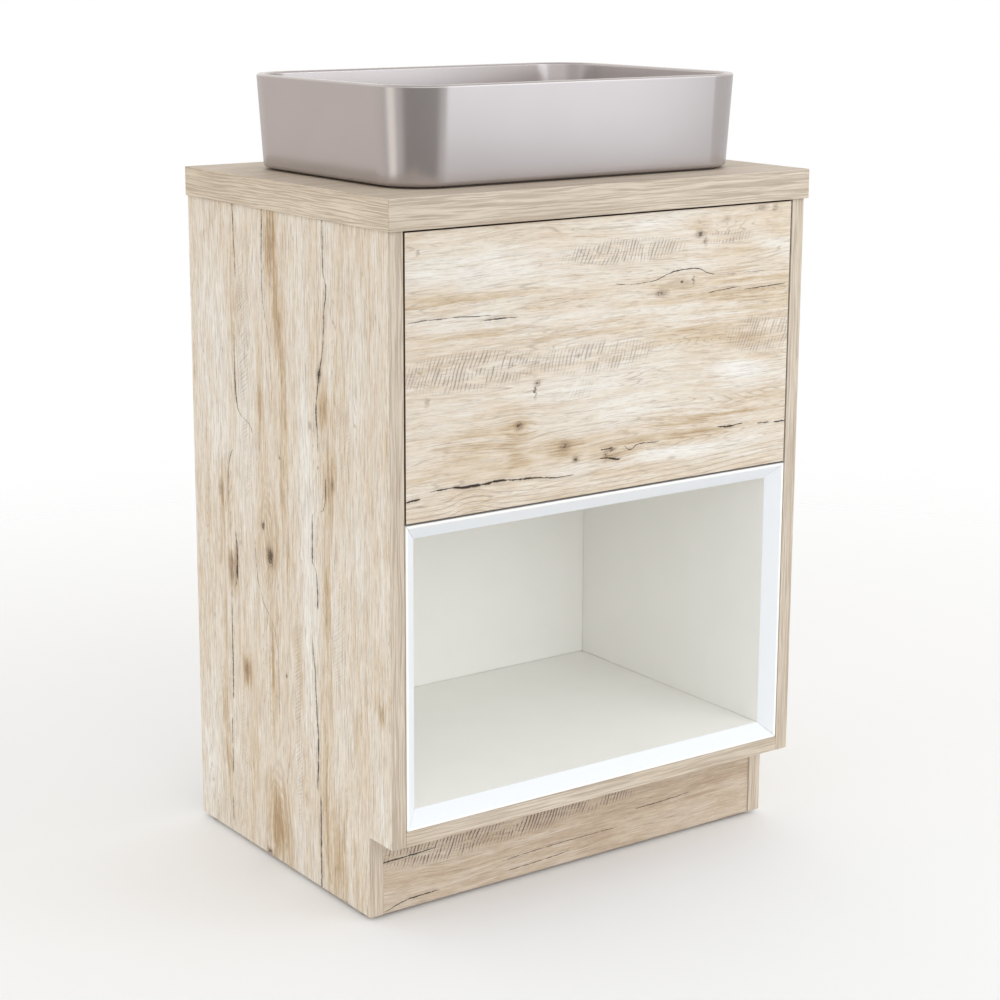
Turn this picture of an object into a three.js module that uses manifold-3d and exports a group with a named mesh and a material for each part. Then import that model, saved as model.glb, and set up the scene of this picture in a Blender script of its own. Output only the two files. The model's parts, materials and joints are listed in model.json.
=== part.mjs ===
// A bathroom vanity unit with a vessel basin: a wood-look cabinet with one push-to-open drawer
// above an open white niche, a worktop, a rounded rectangular ceramic basin, its pop-up waste
// and a bottle trap that the drawer is cut out around.
//
// Millimetres. X runs to the right, -Y is the front and +Z is up. The origin is on the floor,
// under the middle of the worktop's outline.

import * as THREE from "three";
import { mergeVertices } from "three/addons/utils/BufferGeometryUtils.js";
import Module from "manifold-3d";

const wasm = await Module();
wasm.setup();

// ---------------------------------------------------------------- cabinet sizes
const UNIT_WIDTH = 600; // worktop, side to side
const UNIT_DEPTH = 455; // worktop, front to back
const WORKTOP_HEIGHT = 835; // floor to the worktop's top face
const WORKTOP_THICKNESS = 35;
const WORKTOP_SIDE_OVERHANG = 3;
const WORKTOP_FRONT_OVERHANG = 5;
const BOARD = 18; // side panels, bottom, rails, plinth and drawer front
const EDGE_BAND = 1;
const TOE_KICK_HEIGHT = 103.5; // floor to the underside of the bottom panel
const TOE_KICK_DEPTH = 48;
const PLINTH_SETBACK = 1.5; // plinth face behind the side panels' toe edge
const RAIL_WIDTH = 80;
const RAIL_SETBACK = 5; // top front rail behind the drawer front
const GLIDE_HEIGHT = 5;
const GLIDE_DIAMETER = 12;
const GLIDE_INSET = 24; // from a side panel's foot end to the glide's centre
const GLIDE_CHAMFER = 1;

// ---------------------------------------------------------------- niche sizes
const NICHE_HEIGHT = 354; // outside
const SERVICE_SPACE = 69.5; // between the niche's back board and the wall, for pipes
const NICHE_WALL = 19;
const NICHE_LAND = 3; // flat lip outside the front bevel
const NICHE_BEVEL_DEPTH = 13.5;
const NICHE_BACK = 8;
const NICHE_SIDE_GAP = 1.3;
const NICHE_FLOOR_GAP = 0.5;

// ---------------------------------------------------------------- drawer sizes
const FRONT_GAP = 2.5; // above and below the drawer front
const FRONT_SIDE_GAP = 2.2;
const DRAWER_BOARD = 15;
const DRAWER_HEADROOM = 127; // box top below the front's upper edge
const DRAWER_BACK_SPACE = 81.7; // behind the closed drawer box, for the trap's outlet
const DRAWER_LIFT = 12; // box underside above the front's lower edge
const DRAWER_FLOOR = 8;
const DRAWER_FLOOR_RISE = 4; // floor underside above the box underside
const CUTOUT_WALL = 12;
const CUTOUT_CLEARANCE = 30; // between the trap and the walls around it
const PUSH_TRAVEL = 3; // how far the front pushes in to release the latch
const PUSH_MARGIN = 0.3; // left at the end of that travel

// ---------------------------------------------------------------- runner sizes
const RUNNER_SPACE = 13; // between a side panel and the drawer box
const RUNNER_HEIGHT = 45;
const RUNNER_STEEL = 1.2;
const RUNNER_BALL_GAP = 2.2; // between the flanges, where the balls run
const RUNNER_WEB_GAP = 1; // between the webs and the next member's flanges
const RUNNER_FLANGE_SETBACK = 3.3; // cabinet member's flanges short of the drawer member's web
const RUNNER_RISE = 60; // runner's centre line above the box underside

// ---------------------------------------------------------------- latch and bracket sizes
const LATCH_WIDTH = 16;
const LATCH_HEIGHT = 14;
const LATCH_LENGTH = 70;
const PLUNGER_DIAMETER = 7;
const PLUNGER_LENGTH = 40;
const PLUNGER_FIT = 0.2; // radial
const PLUNGER_REACH = 7; // tip in front of the housing
const BRACKET_STEEL = 2;
const BRACKET_LEG = 40;
const BRACKET_LENGTH = 40;
const BRACKET_HOLE = 8;
const BRACKET_HOLE_PLACE = 24; // hole's centre from the angle's corner
const WALL_BRACKET_HEIGHT = 620; // floor to the wall brackets' middle
const WORKTOP_BRACKET_PLACE = 75; // worktop brackets' middle, behind the unit's centre

// ---------------------------------------------------------------- basin sizes
const BASIN_WIDTH = 503;
const BASIN_DEPTH = 363;
const BASIN_HEIGHT = 110.8;
const BASIN_CORNER = 64; // corner radius at the rim
const BASIN_TAPER = 7; // each side, rim to base
const BASIN_WALL = 9;
const BASIN_FLOOR = 14;
const BASIN_COVE = 40; // radius between the wall and the floor
const BASIN_FALL = 3; // how far the floor falls to the waste
const BASIN_FALL_CORNER = 30; // corner radius of the fall's lower end
const BASIN_RIM_ROUND = 3;
const BASIN_FOOT_ROUND = 5;
const SEAT_HEIGHT = 2.2; // sealing ring between the basin and the worktop
const SEAT_INSET = 12;
const SEAT_WIDTH = 8;

// ---------------------------------------------------------------- waste and trap sizes
const WASTE_TUBE = 41;
const WASTE_TUBE_WALL = 4;
const WORKTOP_HOLE_MARGIN = 4.5; // between the waste tube and the worktop's hole
const BASIN_HOLE_MARGIN = 2; // between the waste tube and the basin's hole
const WASTE_TAIL = 42; // tube below the worktop
const FLANGE_REACH = 10.5; // flange's edge outside the basin's hole
const WASTE_FLANGE_THICKNESS = 3;
const GUIDE_DIAMETER = 15;
const GUIDE_LENGTH = 14;
const GUIDE_BAR = 5;
const PLUG_INSET = 3; // plug's edge inside the flange's
const PLUG_THICKNESS = 5;
const STEM_DIAMETER = 8;
const STEM_LENGTH = 34;
const STEM_FIT = 0.3; // radial
const WASHER_REACH = 6; // washer's edge outside the worktop's hole
const WASHER_THICKNESS = 3;
const BACKNUT_REACH = 5; // nut's flats outside the worktop's hole
const BACKNUT_THICKNESS = 9;
const THREAD_FIT = 0.4; // radial
const PIPE_FIT = 0.5; // radial, pipe in the waste tube
const PIPE_WALL = 2;
const PIPE_IN_WASTE = 18;
const NUT_WALL = 5; // from a slip nut's thread to its flats
const NUT_LENGTH = 20;
const NUT_LIP = 4; // a slip nut's lower end, which closes on the pipe
const NUT_OVERRUN = 7; // how far a slip nut runs past the end of its thread
const TRAP_CHAMBER = 10; // between the inlet pipe and the trap's wall
const TRAP_WALL = 4;
const CUP_MARGIN = 2; // between the cup's rim and the outlet nut
const TRAP_NECK_WALL = 5; // outside the pipe
const TRAP_NECK_HEIGHT = 14;
const CUP_WALL = 3;
const CUP_HEIGHT = 62;
const CUP_LAP = 18; // how far the cup screws up over the body
const OUTLET_DEPTH = 155; // outlet pipe's centre line below the worktop's top face
const OUTLET_SHOULDER = 3; // trap body's top above the outlet spigot
const SPIGOT_LENGTH = 22;
const OUTLET_STOP = 1; // pipe's end in front of the cabinet's back

// ---------------------------------------------------------------- clearances and mesh steps
const SEAM = 0.3; // left between faces that meet
const GLUE_LINE = 0.1; // between an edge band and its board
const CORNER_STEPS = 8;
const COVE_STEPS = 5;
const ROUND_STEPS = 28;
const OVERCUT = 1; // how far a cutting tool runs past the face it cuts

// ---------------------------------------------------------------- places worked out from them
const NICHE_DEPTH = UNIT_DEPTH - WORKTOP_FRONT_OVERHANG - SERVICE_SPACE - NICHE_BACK;
const CABINET_BACK = UNIT_DEPTH / 2;
const CABINET_FRONT = -UNIT_DEPTH / 2 + WORKTOP_FRONT_OVERHANG;
const SIDE_OUTER = UNIT_WIDTH / 2 - WORKTOP_SIDE_OVERHANG;
const SIDE_INNER = SIDE_OUTER - BOARD;
const WORKTOP_UNDERSIDE = WORKTOP_HEIGHT - WORKTOP_THICKNESS;
const CABINET_TOP = WORKTOP_UNDERSIDE - SEAM;
const CABINET_FOOT = GLIDE_HEIGHT + SEAM;
const TOE_FACE = CABINET_FRONT + TOE_KICK_DEPTH;
const BAND_LAYER = EDGE_BAND + GLUE_LINE;
const BETWEEN_SIDES = [-SIDE_INNER + SEAM, SIDE_INNER - SEAM];

const BOTTOM_TOP = TOE_KICK_HEIGHT + BOARD;
const NICHE_BASE = BOTTOM_TOP + NICHE_FLOOR_GAP;
const NICHE_TOP = NICHE_BASE + NICHE_HEIGHT;
const NICHE_HALF = SIDE_INNER - NICHE_SIDE_GAP;
const NICHE_REAR = NICHE_DEPTH + NICHE_BACK; // back of the liner behind the cabinet front

const FRONT_FOOT = NICHE_TOP + FRONT_GAP;
const FRONT_TOP = WORKTOP_UNDERSIDE - FRONT_GAP;
const FRONT_BACK = CABINET_FRONT + BOARD;
const BOX_FRONT = FRONT_BACK + SEAM;
const BOX_BACK = CABINET_BACK - DRAWER_BACK_SPACE;
const RUNNER_LENGTH = BOX_BACK - BOX_FRONT;
const BOX_BOTTOM = FRONT_FOOT + DRAWER_LIFT;
const BOX_TOP = FRONT_TOP - DRAWER_HEADROOM;
const BOX_OUTER = SIDE_INNER - RUNNER_SPACE;
const BOX_INNER = BOX_OUTER - DRAWER_BOARD;
const FLOOR_BOTTOM = BOX_BOTTOM + DRAWER_FLOOR_RISE;
const FLOOR_TOP = FLOOR_BOTTOM + DRAWER_FLOOR;
const REAR_BOARD_FRONT = BOX_BACK - DRAWER_BOARD;
const WASTE_BORE = WASTE_TUBE - 2 * WASTE_TUBE_WALL;
const WASTE_HOLE = WASTE_TUBE + 2 * WORKTOP_HOLE_MARGIN;
const BASIN_HOLE = WASTE_TUBE + 2 * BASIN_HOLE_MARGIN;
const WASTE_FLANGE = BASIN_HOLE + 2 * FLANGE_REACH;
const PLUG_DIAMETER = WASTE_FLANGE - 2 * PLUG_INSET;
const WASHER_DIAMETER = WASTE_HOLE + 2 * WASHER_REACH;
const BACKNUT_FLATS = WASTE_HOLE + 2 * BACKNUT_REACH;
const PIPE_DIAMETER = WASTE_BORE - 2 * PIPE_FIT;
const TRAP_NECK_DIAMETER = PIPE_DIAMETER + 2 * TRAP_NECK_WALL;
const TRAP_DIAMETER = PIPE_DIAMETER + 2 * TRAP_CHAMBER + 2 * TRAP_WALL;
const OUTLET_HEIGHT = WORKTOP_HEIGHT - OUTLET_DEPTH;
const OUTLET_DROP = TRAP_NECK_DIAMETER / 2 + OUTLET_SHOULDER;
const NECK_NUT_RADIUS = nutRadius(TRAP_NECK_DIAMETER + 2 * NUT_WALL);
const CUP_RADIUS = TRAP_DIAMETER / 2 + THREAD_FIT + CUP_WALL;
const CUTOUT_HALF = CUP_RADIUS + CUTOUT_CLEARANCE;
const CUTOUT_FRONT = -CUTOUT_HALF;
const RUNNER_CENTRE = BOX_BOTTOM + RUNNER_RISE;
const PUSHED_BACK = FRONT_BACK + PUSH_TRAVEL + PUSH_MARGIN; // clear of the pushed-in front

const BASIN_BASE = WORKTOP_HEIGHT + SEAT_HEIGHT;
const BASIN_TOP = BASIN_BASE + BASIN_HEIGHT;
const BOWL_FLOOR = BASIN_BASE + BASIN_FLOOR;
const FLANGE_BASE = BOWL_FLOOR - BASIN_FALL + SEAM;
const FLANGE_TOP = FLANGE_BASE + WASTE_FLANGE_THICKNESS;
const TUBE_END = WORKTOP_UNDERSIDE - WASTE_TAIL;
const WASHER_TOP = WORKTOP_UNDERSIDE - SEAM;
const BACKNUT_TOP = WASHER_TOP - WASHER_THICKNESS - SEAM;
const TRAP_TOP = OUTLET_HEIGHT + OUTLET_DROP;
const CUP_TOP = OUTLET_HEIGHT - NECK_NUT_RADIUS - CUP_MARGIN;
const TRAP_FOOT = CUP_TOP - CUP_LAP;
const CUP_FOOT = CUP_TOP - CUP_HEIGHT;
const SPIGOT_END = TRAP_DIAMETER / 2 + SPIGOT_LENGTH;

// The corner radius of an eight-sided nut.
function nutRadius(flats) {
  return flats / 2 / Math.cos(Math.PI / 8);
}

// ---------------------------------------------------------------- finishes
const OAK_FACE = { color: 0xdccdb2, roughness: 0.62, metalness: 0 };
const OAK_EDGE = { color: 0xc9b597, roughness: 0.6, metalness: 0 };
const WHITE_FOIL = { color: 0xf2f3f2, roughness: 0.45, metalness: 0 };
const WHITE_BOARD = { color: 0xe9e8e4, roughness: 0.55, metalness: 0 };
const GLAZE = { color: 0xb3aaa3, roughness: 0.38, metalness: 0 };
const CHROME = { color: 0xd6d8da, roughness: 0.12, metalness: 1 };
const ZINC = { color: 0xb9bcbe, roughness: 0.35, metalness: 1 };
const WHITE_PLASTIC = { color: 0xf0f0ee, roughness: 0.3, metalness: 0 };
const GREY_PLASTIC = { color: 0x9a9a98, roughness: 0.6, metalness: 0 };
const RUBBER = { color: 0x2e2e2e, roughness: 0.85, metalness: 0 };
const SEALANT = { color: 0x8d8782, roughness: 0.7, metalness: 0 };

// ---------------------------------------------------------------- making solids
// A named mesh with a material of its own.
function piece(name, geometry, finish) {
  const mesh = new THREE.Mesh(geometry, new THREE.MeshStandardMaterial(finish));
  mesh.name = name;
  return mesh;
}

function group(...members) {
  const made = new THREE.Group();
  made.add(...members);
  return made;
}

// A box between two coordinates on each axis.
function block(name, finish, [x0, x1], [y0, y1], [z0, z1]) {
  const mesh = piece(name, new THREE.BoxGeometry(x1 - x0, y1 - y0, z1 - z0), finish);
  mesh.position.set((x0 + x1) / 2, (y0 + y1) / 2, (z0 + z1) / 2);
  return mesh;
}

function outline(points) {
  return new THREE.Shape(points.map(([x, y]) => new THREE.Vector2(x, y)));
}

function extruded(shape, length) {
  const options = { depth: length, bevelEnabled: false, curveSegments: ROUND_STEPS / 2 };
  return new THREE.ExtrudeGeometry(shape, options);
}

// An outline of (y, z) points, extruded from x0 to x1.
function alongX(name, finish, points, [x0, x1]) {
  const mesh = piece(name, extruded(outline(points), x1 - x0), finish);
  const axes = new THREE.Matrix4();
  axes.makeBasis(new THREE.Vector3(0, 1, 0), new THREE.Vector3(0, 0, 1), new THREE.Vector3(1, 0, 0));
  mesh.setRotationFromMatrix(axes);
  mesh.position.x = x0;
  return mesh;
}

// An outline of (x, z) points, extruded from y0 to y1.
function alongY(name, finish, points, [y0, y1]) {
  const mesh = piece(name, extruded(outline(points), y1 - y0), finish);
  mesh.rotation.x = Math.PI / 2;
  mesh.position.y = y1;
  return mesh;
}

// A closed profile of (radius, height) points, counter-clockwise, turned about the Z axis.
function turned(points) {
  const profile = points.map(([radius, height]) => new THREE.Vector2(radius, height));
  const closesOnAxis = points[0][0] === 0;
  if (!closesOnAxis) profile.push(profile[0].clone());
  return new THREE.LatheGeometry(profile, ROUND_STEPS).rotateX(Math.PI / 2);
}

function tube(inner, outer, low, high) {
  return turned([[inner, low], [outer, low], [outer, high], [inner, high]]);
}

function rod(radius, low, high) {
  return turned([[0, low], [radius, low], [radius, high], [0, high]]);
}

// The same solid with its axis turned from +Z to +Y, at a height above the floor.
function towardsBack(geometry, height) {
  return geometry.rotateX(-Math.PI / 2).translate(0, 0, height);
}

// A skin over rings of points, each counter-clockwise as seen from the last ring, with flat ends.
function loft(rings) {
  const count = rings[0].length;
  const last = (rings.length - 1) * count;
  const faces = [];
  for (let i = 0; i < last; i += count) {
    for (let j = 0; j < count; j++) {
      const k = (j + 1) % count;
      faces.push(i + j, i + k, i + count + k, i + j, i + count + k, i + count + j);
    }
  }
  for (let j = 1; j < count - 1; j++) {
    faces.push(0, j + 1, j, last, last + j, last + j + 1);
  }
  return new THREE.BufferGeometry().setFromPoints(rings.flat()).setIndex(faces);
}

function toSolid(geometry) {
  const bare = new THREE.BufferGeometry();
  bare.setAttribute("position", geometry.getAttribute("position"));
  bare.setIndex(geometry.index);
  const merged = mergeVertices(bare);
  const vertProperties = merged.getAttribute("position").array;
  const triVerts = new Uint32Array(merged.index.array);
  return new wasm.Manifold(new wasm.Mesh({ numProp: 3, vertProperties, triVerts }));
}

function toGeometry(solid) {
  const { vertProperties, triVerts } = solid.getMesh();
  const geometry = new THREE.BufferGeometry();
  geometry.setAttribute("position", new THREE.BufferAttribute(vertProperties, 3));
  geometry.setIndex(new THREE.BufferAttribute(triVerts, 1));
  return geometry;
}

// The added geometries joined, less every cut one.
function shaped(added, cut) {
  let solid = toSolid(added[0]);
  for (const geometry of added.slice(1)) {
    solid = solid.add(toSolid(geometry));
  }
  for (const geometry of cut) {
    solid = solid.subtract(toSolid(geometry));
  }
  return toGeometry(solid);
}

// ---------------------------------------------------------------- worktop
function makeWorktop() {
  const half = UNIT_WIDTH / 2;
  const front = -UNIT_DEPTH / 2;
  const heights = [WORKTOP_UNDERSIDE, WORKTOP_HEIGHT];
  const coreWidth = UNIT_WIDTH - 2 * BAND_LAYER;
  const coreDepth = UNIT_DEPTH - BAND_LAYER;
  const core = new THREE.BoxGeometry(coreWidth, coreDepth, WORKTOP_THICKNESS);
  core.translate(0, BAND_LAYER / 2, WORKTOP_HEIGHT - WORKTOP_THICKNESS / 2);
  const hole = rod(WASTE_HOLE / 2, WORKTOP_UNDERSIDE - OVERCUT, WORKTOP_HEIGHT + OVERCUT);
  const behindFrontBand = [front + BAND_LAYER, CABINET_BACK];
  return group(
    piece("worktop", shaped([core], [hole]), OAK_FACE),
    block("worktop_band_front", OAK_EDGE, [-half, half], [front, front + EDGE_BAND], heights),
    block("worktop_band_left", OAK_EDGE, [-half, -half + EDGE_BAND], behindFrontBand, heights),
    block("worktop_band_right", OAK_EDGE, [half - EDGE_BAND, half], behindFrontBand, heights),
  );
}

// ---------------------------------------------------------------- cabinet
// A side panel runs to the floor and is notched at the front for the toe space.
function makeSide(name, direction) {
  const across = [direction * SIDE_INNER, direction * SIDE_OUTER].sort((a, b) => a - b);
  const front = CABINET_FRONT + BAND_LAYER;
  const toe = TOE_FACE + BAND_LAYER;
  const notched = [
    [front, TOE_KICK_HEIGHT],
    [toe, TOE_KICK_HEIGHT],
    [toe, CABINET_FOOT],
    [CABINET_BACK, CABINET_FOOT],
    [CABINET_BACK, CABINET_TOP],
    [front, CABINET_TOP],
  ];
  const frontEdge = [CABINET_FRONT, CABINET_FRONT + EDGE_BAND];
  const toeEdge = [TOE_FACE, TOE_FACE + EDGE_BAND];
  const toeHeights = [CABINET_FOOT, TOE_KICK_HEIGHT - GLUE_LINE];
  return group(
    alongX("side_panel_" + name, OAK_FACE, notched, across),
    block("side_band_" + name, OAK_EDGE, across, frontEdge, [TOE_KICK_HEIGHT, CABINET_TOP]),
    block("toe_band_" + name, OAK_EDGE, across, toeEdge, toeHeights),
  );
}

function makeBottom() {
  const heights = [TOE_KICK_HEIGHT, BOTTOM_TOP];
  const plinthFace = TOE_FACE + PLINTH_SETBACK;
  const plinthHeights = [CABINET_FOOT, TOE_KICK_HEIGHT - SEAM];
  const bandDepth = [CABINET_FRONT, CABINET_FRONT + EDGE_BAND];
  return group(
    block("bottom_panel", OAK_FACE, BETWEEN_SIDES, [CABINET_FRONT + BAND_LAYER, CABINET_BACK], heights),
    block("bottom_band", OAK_EDGE, BETWEEN_SIDES, bandDepth, heights),
    block("plinth_board", OAK_FACE, BETWEEN_SIDES, [plinthFace, plinthFace + BOARD], plinthHeights),
  );
}

function makeRails() {
  const railFront = FRONT_BACK + RAIL_SETBACK;
  const againstWall = [CABINET_BACK - BOARD, CABINET_BACK];
  const underTop = [CABINET_TOP - RAIL_WIDTH, CABINET_TOP];
  const onBottom = [BOTTOM_TOP + SEAM, BOTTOM_TOP + SEAM + RAIL_WIDTH];
  const flat = [CABINET_TOP - BOARD, CABINET_TOP];
  return group(
    block("top_rail_front", WHITE_BOARD, BETWEEN_SIDES, [railFront, railFront + RAIL_WIDTH], flat),
    block("top_rail_back", WHITE_BOARD, BETWEEN_SIDES, againstWall, underTop),
    block("bottom_rail_back", WHITE_BOARD, BETWEEN_SIDES, againstWall, onBottom),
  );
}

function makeGlide(name, x, y) {
  const radius = GLIDE_DIAMETER / 2;
  const geometry = turned([
    [0, 0],
    [radius - GLIDE_CHAMFER, 0],
    [radius, GLIDE_CHAMFER],
    [radius, GLIDE_HEIGHT],
    [0, GLIDE_HEIGHT],
  ]);
  const mesh = piece(name, geometry, GREY_PLASTIC);
  mesh.position.set(x, y, 0);
  return mesh;
}

function makeGlides() {
  const x = (SIDE_INNER + SIDE_OUTER) / 2;
  const front = TOE_FACE + GLIDE_INSET;
  const back = CABINET_BACK - GLIDE_INSET;
  return group(
    makeGlide("glide_front_left", -x, front),
    makeGlide("glide_front_right", x, front),
    makeGlide("glide_back_left", -x, back),
    makeGlide("glide_back_right", x, back),
  );
}

// ---------------------------------------------------------------- niche
// One board of the white box, mitred to its neighbours at both ends and bevelled along its front.
// Its outer face lies on the local plane X = 0 and the board's thickness runs towards +X.
function makeNicheBoard(name, length, x, z, turn) {
  const profile = [
    [0, 0],
    [NICHE_LAND, 0],
    [NICHE_WALL, NICHE_BEVEL_DEPTH],
    [NICHE_WALL, NICHE_REAR],
    [0, NICHE_REAR],
  ];
  const end = (sign) => ([inset, back]) => {
    const reach = length / 2 - inset - SEAM / 2;
    return new THREE.Vector3(inset, CABINET_FRONT + back, sign * reach);
  };
  const mesh = piece(name, loft([profile.map(end(-1)), profile.map(end(1))]), WHITE_FOIL);
  mesh.position.set(x, 0, z);
  mesh.rotation.y = turn;
  return mesh;
}

function makeNiche() {
  const middle = (NICHE_BASE + NICHE_TOP) / 2;
  const width = 2 * NICHE_HALF;
  const inside = NICHE_HALF - NICHE_WALL - SEAM;
  const back = CABINET_FRONT + NICHE_DEPTH;
  const heights = [NICHE_BASE + NICHE_WALL + SEAM, NICHE_TOP - NICHE_WALL - SEAM];
  return group(
    makeNicheBoard("niche_side_left", NICHE_HEIGHT, -NICHE_HALF, middle, 0),
    makeNicheBoard("niche_side_right", NICHE_HEIGHT, NICHE_HALF, middle, Math.PI),
    makeNicheBoard("niche_floor", width, 0, NICHE_BASE, -Math.PI / 2),
    makeNicheBoard("niche_ceiling", width, 0, NICHE_TOP, Math.PI / 2),
    block("niche_back", WHITE_FOIL, [-inside, inside], [back, back + NICHE_BACK], heights),
  );
}

// ---------------------------------------------------------------- brackets
// An angle of two legs from a corner point, as an outline; the signs say which way each leg runs.
function angleOutline(cornerX, cornerY, signX, signY) {
  const long = BRACKET_LEG;
  const thin = BRACKET_STEEL;
  const steps = [[0, 0], [long, 0], [long, thin], [thin, thin], [thin, long], [0, long]];
  return steps.map(([x, y]) => [cornerX + signX * x, cornerY + signY * y]);
}

function makeWallBracket(name, direction) {
  const corner = direction * (SIDE_INNER - SEAM);
  const shape = outline(angleOutline(corner, CABINET_BACK, -direction, -1));
  const foot = WALL_BRACKET_HEIGHT - BRACKET_LENGTH / 2;
  const angle = extruded(shape, BRACKET_LENGTH).translate(0, 0, foot);
  const reach = BRACKET_STEEL + OVERCUT;
  const hole = towardsBack(rod(BRACKET_HOLE / 2, -reach, reach), WALL_BRACKET_HEIGHT);
  hole.translate(corner - direction * BRACKET_HOLE_PLACE, CABINET_BACK, 0);
  return piece(name, shaped([angle], [hole]), ZINC);
}

function makeWorktopBracket(name, direction) {
  const corner = direction * (SIDE_INNER - SEAM);
  const points = angleOutline(corner, CABINET_TOP, -direction, -1);
  const half = BRACKET_LENGTH / 2;
  const run = [WORKTOP_BRACKET_PLACE - half, WORKTOP_BRACKET_PLACE + half];
  return alongY(name, ZINC, points, run);
}

function makeBrackets() {
  return group(
    makeWallBracket("wall_bracket_left", -1),
    makeWallBracket("wall_bracket_right", 1),
    makeWorktopBracket("worktop_bracket_left", -1),
    makeWorktopBracket("worktop_bracket_right", 1),
  );
}

// ---------------------------------------------------------------- runners
// A channel's outline. Distances run from the side panel's inner face towards the drawer.
function channelOutline(direction, web, tip, halfHeight) {
  const steel = Math.sign(tip - web) * RUNNER_STEEL;
  const inner = halfHeight - RUNNER_STEEL;
  const points = [
    [web, -halfHeight],
    [tip, -halfHeight],
    [tip, -inner],
    [web + steel, -inner],
    [web + steel, inner],
    [tip, inner],
    [tip, halfHeight],
    [web, halfHeight],
  ];
  return points.map(([away, rise]) => [direction * (SIDE_INNER - away), RUNNER_CENTRE + rise]);
}

// Three nested channels: one on the cabinet, one between, one on the drawer.
function makeRunner(name, direction) {
  const step = RUNNER_STEEL + RUNNER_WEB_GAP;
  const nest = RUNNER_STEEL + RUNNER_BALL_GAP;
  const cabinetWeb = SEAM;
  const drawerWeb = RUNNER_SPACE - SEAM;
  const half = RUNNER_HEIGHT / 2;
  const cabinetTip = drawerWeb - RUNNER_FLANGE_SETBACK;
  const cabinet = channelOutline(direction, cabinetWeb, cabinetTip, half);
  const middle = channelOutline(direction, cabinetWeb + step, drawerWeb - step, half - nest);
  const drawer = channelOutline(direction, drawerWeb, cabinetWeb + 2 * step, half - 2 * nest);
  const onCabinet = [PUSHED_BACK, PUSHED_BACK + RUNNER_LENGTH];
  const onDrawer = [BOX_FRONT, BOX_FRONT + RUNNER_LENGTH];
  return group(
    alongY("runner_cabinet_" + name, ZINC, cabinet, onCabinet),
    alongY("runner_middle_" + name, ZINC, middle, onCabinet),
    alongY("runner_drawer_" + name, ZINC, drawer, onDrawer),
  );
}

// ---------------------------------------------------------------- drawer
function makeDrawerFloor() {
  const half = BOX_INNER - SEAM;
  const back = REAR_BOARD_FRONT - SEAM;
  const points = [
    [-half, BOX_FRONT],
    [half, BOX_FRONT],
    [half, back],
    [CUTOUT_HALF, back],
    [CUTOUT_HALF, CUTOUT_FRONT],
    [-CUTOUT_HALF, CUTOUT_FRONT],
    [-CUTOUT_HALF, back],
    [-half, back],
  ];
  const mesh = piece("drawer_floor", extruded(outline(points), DRAWER_FLOOR), WHITE_BOARD);
  mesh.position.z = FLOOR_BOTTOM;
  return mesh;
}

// The side board, rear board and cut-out wall of one half of the drawer box.
function makeDrawerHalf(name, direction) {
  const sorted = (a, b) => [direction * a, direction * b].sort((p, q) => p - q);
  const heights = [BOX_BOTTOM, BOX_TOP];
  const aboveFloor = [FLOOR_TOP + SEAM, BOX_TOP];
  const rear = [REAR_BOARD_FRONT, BOX_BACK];
  const cutoutRun = [CUTOUT_FRONT + SEAM, REAR_BOARD_FRONT - SEAM];
  const sideAcross = sorted(BOX_INNER, BOX_OUTER);
  const rearAcross = sorted(CUTOUT_HALF, BOX_INNER - SEAM);
  const wallAcross = sorted(CUTOUT_HALF, CUTOUT_HALF + CUTOUT_WALL);
  return group(
    block("drawer_side_" + name, WHITE_BOARD, sideAcross, [BOX_FRONT, BOX_BACK], heights),
    block("drawer_rear_" + name, WHITE_BOARD, rearAcross, rear, heights),
    block("cutout_side_" + name, WHITE_BOARD, wallAcross, cutoutRun, aboveFloor),
  );
}

function makeDrawer() {
  const frontHalf = SIDE_INNER - FRONT_SIDE_GAP;
  const wallHalf = CUTOUT_HALF + CUTOUT_WALL;
  const wallDepth = [CUTOUT_FRONT - CUTOUT_WALL, CUTOUT_FRONT];
  const aboveFloor = [FLOOR_TOP + SEAM, BOX_TOP];
  const frontAcross = [-frontHalf, frontHalf];
  const frontHeights = [FRONT_FOOT, FRONT_TOP];
  return group(
    block("drawer_front", OAK_FACE, frontAcross, [CABINET_FRONT, FRONT_BACK], frontHeights),
    makeDrawerFloor(),
    makeDrawerHalf("left", -1),
    makeDrawerHalf("right", 1),
    block("cutout_front", WHITE_BOARD, [-wallHalf, wallHalf], wallDepth, aboveFloor),
  );
}

// ---------------------------------------------------------------- push latch
// A sprung plunger in a housing under the top front rail, facing the back of the drawer front.
function makeLatch() {
  const top = CABINET_TOP - BOARD - SEAM;
  const centre = top - LATCH_HEIGHT / 2;
  const tip = PUSHED_BACK;
  const front = tip + PLUNGER_REACH;
  const radius = PLUNGER_DIAMETER / 2;
  const boreEnd = tip + PLUNGER_LENGTH + PUSH_TRAVEL + PUSH_MARGIN;
  const body = new THREE.BoxGeometry(LATCH_WIDTH, LATCH_LENGTH, LATCH_HEIGHT);
  body.translate(0, front + LATCH_LENGTH / 2, centre);
  const bore = towardsBack(rod(radius + PLUNGER_FIT, front - OVERCUT, boreEnd), centre);
  const nose = radius / 2;
  const plunger = turned([
    [0, tip],
    [radius - nose, tip],
    [radius, tip + nose],
    [radius, tip + PLUNGER_LENGTH],
    [0, tip + PLUNGER_LENGTH],
  ]);
  return group(
    piece("latch_housing", shaped([body], [bore]), GREY_PLASTIC),
    piece("latch_plunger", towardsBack(plunger, centre), GREY_PLASTIC),
  );
}

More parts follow.
